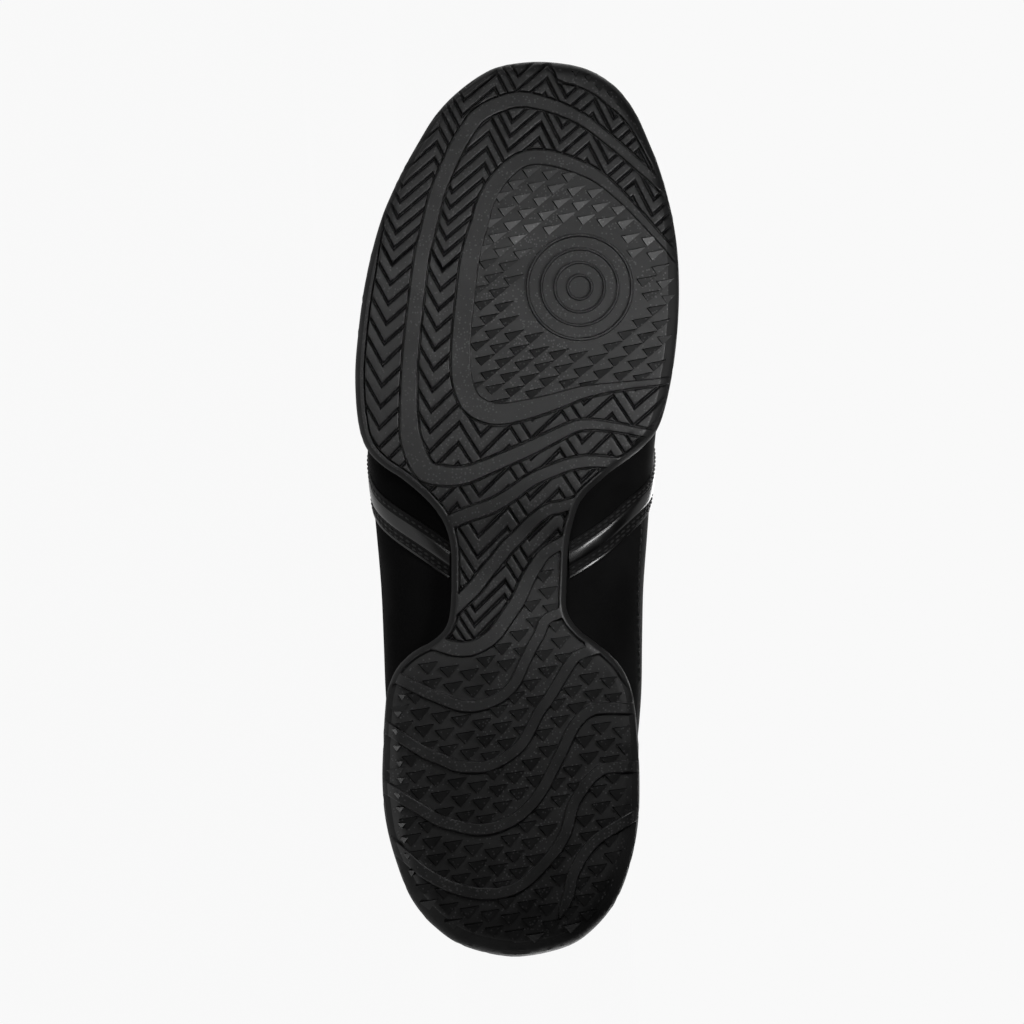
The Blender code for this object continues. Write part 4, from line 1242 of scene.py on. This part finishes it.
def eyelet_holes():
    """Cylinders through the wall at all eyelets, as one object."""
    holes = []
    for station in eyelet_stations():
        for side in (-1, 1):
            centre, along, across, normal = eyelet_frame(station, side, 0.0)
            bpy.ops.mesh.primitive_cylinder_add(vertices=HOLE_SIDES, radius=EYELET_HOLE * MM,
                                                depth=HOLE_DEPTH * MM)
            hole = bpy.context.object
            axes = [Vector(SHOE_AXES.T @ axis) for axis in (along, across, normal)]
            turn = Matrix([[axis[row] for axis in axes] for row in range(3)]).to_4x4()
            hole.matrix_world = Matrix.Translation(Vector(placed(centre))) @ turn
            holes.append(hole)
    pick(holes[0])
    for hole in holes:
        hole.select_set(True)
    bpy.ops.object.join()
    return holes[0]


def make_upper(materials):
    points = []
    faces = []
    stations = upper_stations()
    for side in (-1, 1):
        half = upper_half(side, stations)
        faces += grid_faces(*half.shape[:2], len(points), flip=side < 0)
        points += list(half.reshape(-1, 3))
    upper_materials = [materials["suede"], materials["lining"]]
    upper = new_piece("upper_shell", points, faces, upper_materials, merge=0.02, outward=False)
    wall = upper.modifiers.new("wall", "SOLIDIFY")
    wall.thickness = WALL * MM
    wall.offset = -1.0
    wall.use_even_offset = True
    wall.material_offset = 1
    holes = eyelet_holes()
    punch = upper.modifiers.new("eyelet_holes", "BOOLEAN")
    punch.object = holes
    punch.operation = "DIFFERENCE"
    punch.solver = "EXACT"
    apply_modifiers(upper)
    bpy.data.objects.remove(holes)
    return finish_piece(upper, 40, ("upper",))


INSOLE_STATIONS = np.arange(1.6, 18.61, 0.25)
INSOLE_SEARCH = np.linspace(0.0, 0.5, 90)     # shares of a section where the board's edge may lie
INSOLE_COLUMNS = np.linspace(0.0, 1.0, 15)    # shares of the way across
INSOLE_DISH = 0.9
INSOLE_THICK = 2.0
INSOLE_TAPER = 0.97       # size of the underside against the top


def make_insole(materials):
    """A thin board with a soft top, fitted to the inside of the wall."""
    edges = []
    for station in INSOLE_STATIONS:
        level = section_values(station)["base_w"] + INSOLE_RISE
        pair = []
        for side in (-1, 1):
            wall = form_points(station, side, INSOLE_SEARCH, -(WALL + INNER_GAP))
            pair.append(wall[int(np.argmax(wall[:, 2] >= level))])
        edges.append(pair)
    edges = np.array(edges)
    top = edges[:, :1] + (edges[:, 1:] - edges[:, :1]) * INSOLE_COLUMNS[None, :, None]
    dish = INSOLE_DISH * (1.0 - (2.0 * INSOLE_COLUMNS - 1.0) ** 4)
    top[:, :, 2] -= dish[None]
    middle = edges.mean(axis=1, keepdims=True)
    bottom = middle + (top - middle) * INSOLE_TAPER
    bottom[:, :, 2] = top[:, :, 2] - INSOLE_THICK
    points, faces = slab(top, bottom)
    insole = new_piece("insole_board", points, faces, [materials["lining"]])
    return finish_piece(insole, 40, ("insole",))


TONGUE_ROWS, TONGUE_COLUMNS = 90, 33
TONGUE_EDGE = 0.9         # thickness at the edges
TONGUE_NARROW, TONGUE_WIDEN = 0.6, 0.25    # share of the width at the front, and its growth for each station
TONGUE_CORNER = 7.0       # radius of the tongue's top corners, and their run in stations
TONGUE_CORNER_RUN = 0.9
TONGUE_END_RUN = 0.5      # stations over which the ends grow thin
PAD_DEPTH = 0.25          # of the seams between the tongue's pads
PAD_WAVES = 8.0
PAD_REACH = 0.62          # share of the half-width that has seams


def make_tongue(materials):
    """A padded tongue with thin rounded edges under the throat."""
    reaches = np.linspace(-1.0, 1.0, TONGUE_COLUMNS)
    pads = PAD_DEPTH * np.sin(PAD_WAVES * math.pi * reaches) ** 2 * (np.abs(reaches) < PAD_REACH)
    middle = -(WALL + INNER_GAP) - TONGUE_THICK / 2
    outer = []
    inner = []
    for station in np.linspace(TONGUE_START, TONGUE_END, TONGUE_ROWS):
        half = TONGUE_HALF * min(1.0, TONGUE_NARROW + TONGUE_WIDEN * (station - TONGUE_START))
        past = max(0.0, (station - TONGUE_END) / TONGUE_CORNER_RUN + 1.0)
        half -= TONGUE_CORNER * (1.0 - math.sqrt(1.0 - past ** 2))
        from_end = min(TONGUE_END - station, station - TONGUE_START)
        end = min(1.0, from_end / TONGUE_END_RUN)
        swell = (1.0 - np.abs(reaches) ** 6) * math.sqrt(max(end, 0.0))
        thick = TONGUE_EDGE + (TONGUE_THICK - TONGUE_EDGE) * swell
        outer.append(across_top(station, half * reaches, middle + thick / 2 - pads * swell))
        inner.append(across_top(station, half * reaches, middle - thick / 2))
    points, faces = slab(np.array(outer), np.array(inner))
    tongue = new_piece("tongue_padded", points, faces, [materials["cloth"]])
    finish_piece(tongue, 50, ("tongue",))
    return tongue


# Across a saddle strip from its toe edge to its heel edge: share of the half-width, and height
STRIP_PROFILE = ((-1.0, 0.15), (-0.97, 0.55), (-0.9, 0.72), (-0.52, 0.74), (-0.47, 0.85), (-0.4, 1.12),
                 (-0.3, 1.28), (-0.1, 1.34), (0.1, 1.32), (0.22, 1.18), (0.27, 0.85), (0.32, 0.74),
                 (0.84, 0.78), (0.9, 0.98), (0.95, 0.98), (0.985, 0.7), (1.0, 0.15))
STRIP_HEMS = ((-1.0, -0.47), (0.27, 0.84))    # shares of the half-width that are matt
STRIP_HEM_HEIGHT = 0.78   # of the profile where the hems are sewn
STRIP_ROWS = 80
STRIP_LIFT = 0.15         # of the profile over the wall
STRIP_SEAT = 0.3 * GAP    # of its underside over the wall
STRIP_RISE = 0.62         # of the profile's heights


def strip_spots(station, offset):
    """The station at a distance along the foot from a strip's middle."""
    ahead = section_values(max(station - 0.5, 0.0))["base_u"]
    behind = section_values(station + 0.5)["base_u"]
    return station + offset / (ahead - behind)


def make_strip(name, side, route, materials):
    """A glossy saddle strip: a raised bead with a flat hem on either side of it."""
    centre = smooth_rows(route, np.linspace(0.0, len(route) - 1.0, STRIP_ROWS))
    outer = []
    inner = []
    for station, share in centre:
        spots = [strip_spots(station, STRIP_HALF * across) for across, _ in STRIP_PROFILE]
        lifts = [STRIP_LIFT + STRIP_RISE * height for _, height in STRIP_PROFILE]
        outer.append([form_points(spot, side, [share], lift)[0] for spot, lift in zip(spots, lifts)])
        inner.append([form_points(spot, side, [share], STRIP_SEAT)[0] for spot in spots])
    points, faces = slab(np.array(outer), np.array(inner))
    across = [row[0] for row in STRIP_PROFILE]
    middles = [(here + there) / 2 for here, there in zip(across, across[1:])]
    matt = [any(low < middle < high for low, high in STRIP_HEMS) for middle in middles]
    finishes = matt * (len(centre) - 1)
    finishes += [False] * (len(faces) - len(finishes))
    strip_materials = [materials["gloss"], materials["hem"]]
    strip = new_piece(name + "_trim", points, faces, strip_materials, finishes=finishes)
    return finish_piece(strip, 35, (name,))


STITCH_PITCH = 2.7
STITCH_SIZE = (0.95, 0.36, 0.32)    # half of a stitch along, across and up
STITCH_AIM = 0.4          # distance before and after a stitch that it is turned by
STITCH_LIFT = 0.1         # of a row over the leather
STAY_SEAM_INSET = 1.8     # of the rows along both edges of the eyestay
# Rows along a strip, as shares of its half-width
HEM_ROWS_LATERAL = (-0.72, 0.5, 0.72)
HEM_ROWS_MEDIAL = (-0.84, -0.64, 0.5, 0.72)
# The seam behind the inner strip: stations from and to, share of the wall at a station, and its slope
SIDE_SEAM = (11.6, 14.6)
SIDE_SEAM_AT = (12.0, 0.315)
SIDE_SEAM_SLOPE = -0.010


def shape_of(item):
    """Points and faces of an object that is then removed."""
    points = np.array([vertex.co for vertex in item.data.vertices])
    faces = [tuple(face.vertices) for face in item.data.polygons]
    bpy.data.objects.remove(item)
    return points, faces


def stitch_shape():
    """One short stitch, lying along X with its top towards Z, in millimetres."""
    bpy.ops.object.select_all(action="DESELECT")
    bpy.ops.mesh.primitive_uv_sphere_add(segments=8, ring_count=5, radius=1.0)
    bpy.ops.object.mode_set(mode="EDIT")
    bpy.ops.mesh.select_all(action="SELECT")
    bpy.ops.transform.rotate(value=math.pi / 2, orient_axis="Y", center_override=(0.0, 0.0, 0.0))
    bpy.ops.transform.resize(value=STITCH_SIZE)
    bpy.ops.object.mode_set(mode="OBJECT")
    return shape_of(bpy.context.object)


def stitch_row(line, normals, shape):
    """Stitches set one after another along a line of points with surface normals."""
    lengths = lengths_along(line)
    stitches = []
    for along in np.arange(STITCH_PITCH / 2, lengths[-1], STITCH_PITCH):
        up = read_line(normals, lengths, along)
        up /= np.linalg.norm(up)
        ahead = read_line(line, lengths, along + STITCH_AIM) - read_line(line, lengths, along - STITCH_AIM)
        ahead -= up * np.dot(ahead, up)
        ahead /= max(np.linalg.norm(ahead), TINY)
        axes = np.stack((ahead, np.cross(up, ahead), up))
        stitches.append((read_line(line, lengths, along) + shape[0] @ axes, shape[1]))
    return joined(stitches)


def surface_line(side, places, lift):
    """Points and normals along (station, share) places of one side of the upper."""
    points = np.array([form_points(station, side, [share], lift)[0] for station, share in places])
    normals = np.array([form_normals(station, side, [share])[0] for station, share in places])
    return points, normals


def make_stitches(materials):
    """All the visible rows of stitching as one piece."""
    rows = []
    stay_stations = np.linspace(VAMP_POINT + 0.3, COLLAR_BAND_START - 0.15, 160)
    collar_shares = np.linspace(0.02, 1.0, 60)
    for side, route, hems in ((-1, STRIP_LATERAL, HEM_ROWS_LATERAL), (1, STRIP_MEDIAL, HEM_ROWS_MEDIAL)):
        for inset in (STAY_SEAM_INSET, EYESTAY_WIDTH - STAY_SEAM_INSET):
            places = []
            for station in stay_stations:
                _, throat, length = opening_shares(station, side)
                places.append((station, throat - inset / length))
            rows.append(surface_line(side, places, EYESTAY_STEP + STITCH_LIFT))
        throat = opening_shares(COLLAR_BAND_START, side)[1]
        places = [(COLLAR_BAND_START - 0.12, throat * share) for share in collar_shares]
        rows.append(surface_line(side, places, STITCH_LIFT))
        centre = smooth_rows(route, np.linspace(0.0, len(route) - 1.0, 60))
        for hem in hems:
            places = [(strip_spots(station, STRIP_HALF * hem), share) for station, share in centre]
            rows.append(surface_line(side, places, STRIP_LIFT + STRIP_RISE * STRIP_HEM_HEIGHT))
    seam_station, seam_share = SIDE_SEAM_AT
    seam = [(station, seam_share + SIDE_SEAM_SLOPE * (station - seam_station))
            for station in np.linspace(*SIDE_SEAM, 40)]
    rows.append(surface_line(1, seam, STITCH_LIFT))
    shape = stitch_shape()
    points, faces = joined([stitch_row(line, normals, shape) for line, normals in rows])
    stitches = new_piece("stitches", points, faces, [materials["thread"]], merge=0.001)
    return finish_piece(stitches)


EYELET_FLAT = 0.75        # height of a ring against its width
EYELET_LIFT = 0.45        # of a ring's middle over the eyestay
BARREL_EDGE = 0.2         # distance from the hole within which a ring's points go down into the barrel
BARREL_UNDER = -0.1       # and the height under which they do
BARREL_LENGTH = 2.2


def eyelet_shape():
    """A rolled ring with a short barrel, round Z, in millimetres."""
    bpy.ops.object.select_all(action="DESELECT")
    bpy.ops.mesh.primitive_torus_add(major_segments=28, minor_segments=10,
                                     major_radius=(EYELET_HOLE + EYELET_RADIUS) / 2,
                                     minor_radius=(EYELET_RADIUS - EYELET_HOLE) / 2)
    ring = bpy.context.object
    bpy.ops.object.mode_set(mode="EDIT")
    bpy.ops.mesh.select_all(action="SELECT")
    bpy.ops.transform.resize(value=(1.0, 1.0, EYELET_FLAT))
    bpy.ops.object.mode_set(mode="OBJECT")
    for vertex in ring.data.vertices:
        near_hole = math.hypot(vertex.co.x, vertex.co.y) < EYELET_HOLE + BARREL_EDGE
        if near_hole and vertex.co.z < BARREL_UNDER:
            vertex.co.z -= BARREL_LENGTH
    return shape_of(ring)


def make_eyelets(materials):
    """Rolled rings with a short barrel through the wall; one is shaped and then copied."""
    points, faces = eyelet_shape()
    for pair, station in enumerate(eyelet_stations(), 1):
        for side, label in ((-1, "lateral"), (1, "medial")):
            centre, along, across, normal = eyelet_frame(station, side, EYESTAY_STEP + EYELET_LIFT)
            spots = centre + points @ np.stack((along, across, normal))
            eyelet = new_piece(f"eyelet_ring_{label}_{pair}", spots, faces, [materials["eyelet"]])
            finish_piece(eyelet, None, (f"eyelet_{label}_{pair}",))


LACE_RING = 12            # points round the lace, and the powers that make its section flat
LACE_POWERS = (0.6, 0.8)
LACE_THREADS = 3.0        # of its weave from the middle to each edge
LACE_STEPS = np.linspace(0.0, 1.0, 41)    # shares of a bar's way
LACE_OVER = 0.9           # of a bar over the eyestay, beside the eyelet it comes up through
LACE_UNDER = 0.5          # and under the wall at its other end
LACE_HUMP_RUN = 0.12
# Along a bar: share of the way, width and thickness
LACE_SIZES = ((0.0, 3.4, 2.2), (0.05, 3.6, 2.0), (0.14, 2 * LACE_HALF, LACE_THICK),
              (1.0, 2 * LACE_HALF, LACE_THICK))


def lace_bar(path, normals, widths, thicks):
    """A flat lace along a path: points, faces and (across, along) marks for its weave."""
    ahead = unit(np.gradient(path, axis=0))
    across = unit(np.cross(normals, ahead))
    up = np.cross(ahead, across)
    angles = 2 * math.pi * np.arange(LACE_RING) / LACE_RING
    ring_across = np.sign(np.cos(angles)) * np.abs(np.cos(angles)) ** LACE_POWERS[0]
    ring_up = np.sign(np.sin(angles)) * np.abs(np.sin(angles)) ** LACE_POWERS[1]
    points = (path[:, None] + across[:, None] * (ring_across[None, :, None] * widths[:, None, None] / 2)
              + up[:, None] * (ring_up[None, :, None] * thicks[:, None, None] / 2))
    faces = grid_faces(len(path), LACE_RING, closed=True)
    faces.append(tuple(range(LACE_RING)))
    faces.append(tuple((len(path) - 1) * LACE_RING + place for place in reversed(range(LACE_RING))))
    marks_across = np.tile(ring_across * LACE_THREADS, (len(path), 1))
    marks_along = np.repeat(lengths_along(path)[:, None], LACE_RING, 1)
    return points.reshape(-1, 3), faces, np.stack((marks_across, marks_along), axis=2).reshape(-1, 2)


def lace_route(stations, row, side, over):
    """A crossing bar: up through one eyelet, over the tongue, and under the other eyestay."""
    start = stations[row]
    end = stations[row + 1]
    on_top = EYESTAY_STEP + LACE_OVER + LACE_THICK / 2
    under = -(WALL + LACE_UNDER)
    lifts = ((0.0, -1.2), (0.03, 0.6), (0.09, on_top + 0.5), (0.2, on_top), (0.5, on_top - 1.2),
             (0.72, on_top - 2.2), (0.86, under), (1.0, under))
    path = []
    normals = []
    for step in LACE_STEPS:
        station = start + (end - start) * step
        reach = side * (section_values(station)["throat"] + EYELET_INSET) * (1.0 - 2.0 * step)
        hump = LACE_THICK * math.exp(-((step - 0.5) / LACE_HUMP_RUN) ** 2) if over else 0.0
        lift = profile(step, lifts) + hump
        path.append(across_top(station, [reach], lift)[0])
        normals.append(path[-1] - across_top(station, [reach], lift - 1.0)[0])
    shares, widths, thicks = np.array(LACE_SIZES).T
    return (np.array(path), np.array(normals), np.interp(LACE_STEPS, shares, widths),
            np.interp(LACE_STEPS, shares, thicks))


def make_lace(materials):
    stations = eyelet_stations()
    bars = []
    for row in range(EYELET_PAIRS - 1):
        for side in (-1, 1):
            bars.append(lace_bar(*lace_route(stations, row, side, side == (-1) ** row)))
    points, faces = joined([bar[:2] for bar in bars])
    marks = np.concatenate([bar[2] for bar in bars])
    lace = new_piece("lace_run", points, faces, [materials["cord"]], merge=0.0)
    layer = lace.data.uv_layers.new(name="weave")
    for loop in lace.data.loops:
        layer.data[loop.index].uv = marks[loop.vertex_index]
    return finish_piece(lace, 60, ("lace",))


# Floor, light and camera

PHOTO_SIDE = 336.8        # of the photo at the sole, in millimetres
PHOTO_MIDDLE = (146.5, -0.1, 0.0)
CAMERA_AWAY = 6.0
SENSOR = 36.0
CLIP = (0.05, 60.0)
# Area lights: place and target in the shoe's frame, width and height in metres, and power
LIGHTS = (
    ("key", (185.0, 130.0, -170.0), (240.0, 0.0, 0.0), 0.05, 0.05, 0.22),
    ("front", (236.0, -46.0, -350.0), (236.0, -46.0, 0.0), 0.10, 0.08, 0.225),
    ("toe", (430.0, 10.0, -330.0), (280.0, 8.0, 0.0), 0.10, 0.08, 0.13),
    ("over", (60.0, 600.0, 420.0), (120.0, 0.0, 60.0), 0.8, 0.8, 0.9),
    ("back", (160.0, 200.0, 800.0), (120.0, 0.0, 80.0), 0.8, 0.5, 5.0),
    ("heel_side", (-700.0, 200.0, 800.0), (40.0, 0.0, 80.0), 0.5, 0.5, 11.0),
    ("toe_side", (950.0, 200.0, 800.0), (240.0, 0.0, 40.0), 0.5, 0.5, 6.0),
)
BACKGROUND = 0.947
ROOM_LIGHT = 0.015
FLOOR_SIDE = 12.0
FLOOR_GREY = (0.40, 0.40, 0.40, 1.0)
FLOOR_ROUGH = 0.9
FLOOR_GLOW = 0.996        # share of the floor's even light that the camera sees
FLOOR_MIRROR = 0.8        # and that a glossy surface mirrors beside and behind the tread
MIRROR_FROM, MIRROR_FULL = -0.115, -0.09    # Y on the floor where that begins, and where it is full


def facing(spot, target, up):
    """A turn and place that looks from a spot to a target."""
    back = (Vector(spot) - Vector(target)).normalized()
    right = Vector(up).cross(back).normalized()
    over = back.cross(right)
    turn = Matrix((right, over, back)).transposed().to_4x4()
    return Matrix.Translation(Vector(spot)) @ turn


def make_camera():
    data = bpy.data.cameras.new("camera")
    camera = bpy.data.objects.new("camera", data)
    bpy.context.scene.collection.objects.link(camera)
    middle = placed(PHOTO_MIDDLE)
    spot = middle - SHOE_AXES[2] * CAMERA_AWAY
    camera.matrix_world = facing(spot, middle, SHOE_AXES[0])
    data.sensor_width = SENSOR
    data.lens = SENSOR * CAMERA_AWAY / (PHOTO_SIDE * MM)
    data.clip_start, data.clip_end = CLIP
    bpy.context.scene.camera = camera


def make_lights():
    for name, spot, target, width, height, power in LIGHTS:
        data = bpy.data.lights.new(name, "AREA")
        data.shape = "RECTANGLE"
        data.size = width
        data.size_y = height
        data.energy = power
        light = bpy.data.objects.new(name, data)
        bpy.context.scene.collection.objects.link(light)
        light.visible_camera = False
        light.matrix_world = facing(placed(spot), placed(target), (0.0, 0.0, 1.0))


def make_room():
    """A room that is pale to the camera and dim to the shoe."""
    world = bpy.data.worlds.new("room")
    bpy.context.scene.world = world
    world.use_nodes = True
    tree = world.node_tree
    background = tree.nodes["Background"]
    path = node(tree, "ShaderNodeLightPath").outputs
    strength = map_range(tree, path["Is Camera Ray"], {"To Min": ROOM_LIGHT, "To Max": BACKGROUND})
    background.inputs["Color"].default_value = (1.0, 1.0, 1.0, 1.0)
    tree.links.new(strength, background.inputs["Strength"])


def floor_material():
    """A pale floor that glows evenly to the camera, and in part to what mirrors it."""
    material = bpy.data.materials.new("pale_floor")
    material.use_nodes = True
    tree = material.node_tree
    matt = tree.nodes["Principled BSDF"]
    matt.inputs["Base Color"].default_value = FLOOR_GREY
    matt.inputs["Roughness"].default_value = FLOOR_ROUGH
    matt.inputs["Specular IOR Level"].default_value = 0.0
    glow = node(tree, "ShaderNodeEmission", {"Strength": BACKGROUND})
    path = node(tree, "ShaderNodeLightPath").outputs
    seen = math_value(tree, "MULTIPLY", path["Is Camera Ray"], FLOOR_GLOW)
    spot = node(tree, "ShaderNodeTexCoord").outputs["Object"]
    apart = node(tree, "ShaderNodeSeparateXYZ", {"Vector": spot}).outputs
    beside = map_range(tree, apart["Y"], {"From Min": MIRROR_FROM, "From Max": MIRROR_FULL,
                                          "To Max": FLOOR_MIRROR})
    share = math_value(tree, "MULTIPLY_ADD", path["Is Glossy Ray"], beside, seen)
    mixed = node(tree, "ShaderNodeMixShader",
                 {"Fac": share, 1: matt.outputs["BSDF"], 2: glow.outputs["Emission"]})
    tree.links.new(mixed.outputs["Shader"], tree.nodes["Material Output"].inputs["Surface"])
    return material


def make_floor():
    bpy.ops.object.select_all(action="DESELECT")
    bpy.ops.mesh.primitive_plane_add(size=FLOOR_SIDE, location=(0.0, 0.0, 0.0))
    floor = bpy.context.object
    floor.name = "floor"
    floor.data.materials.append(floor_material())


def main():
    bpy.context.scene.view_settings.view_transform = "Standard"
    materials = make_materials()
    make_camera()
    make_lights()
    make_room()
    make_floor()
    make_outsole(materials)
    make_upper(materials)
    make_insole(materials)
    make_tongue(materials)
    make_strip("saddle_strip_lateral", -1, STRIP_LATERAL, materials)
    make_strip("saddle_strip_medial", 1, STRIP_MEDIAL, materials)
    make_eyelets(materials)
    make_lace(materials)
    make_stitches(materials)


main()
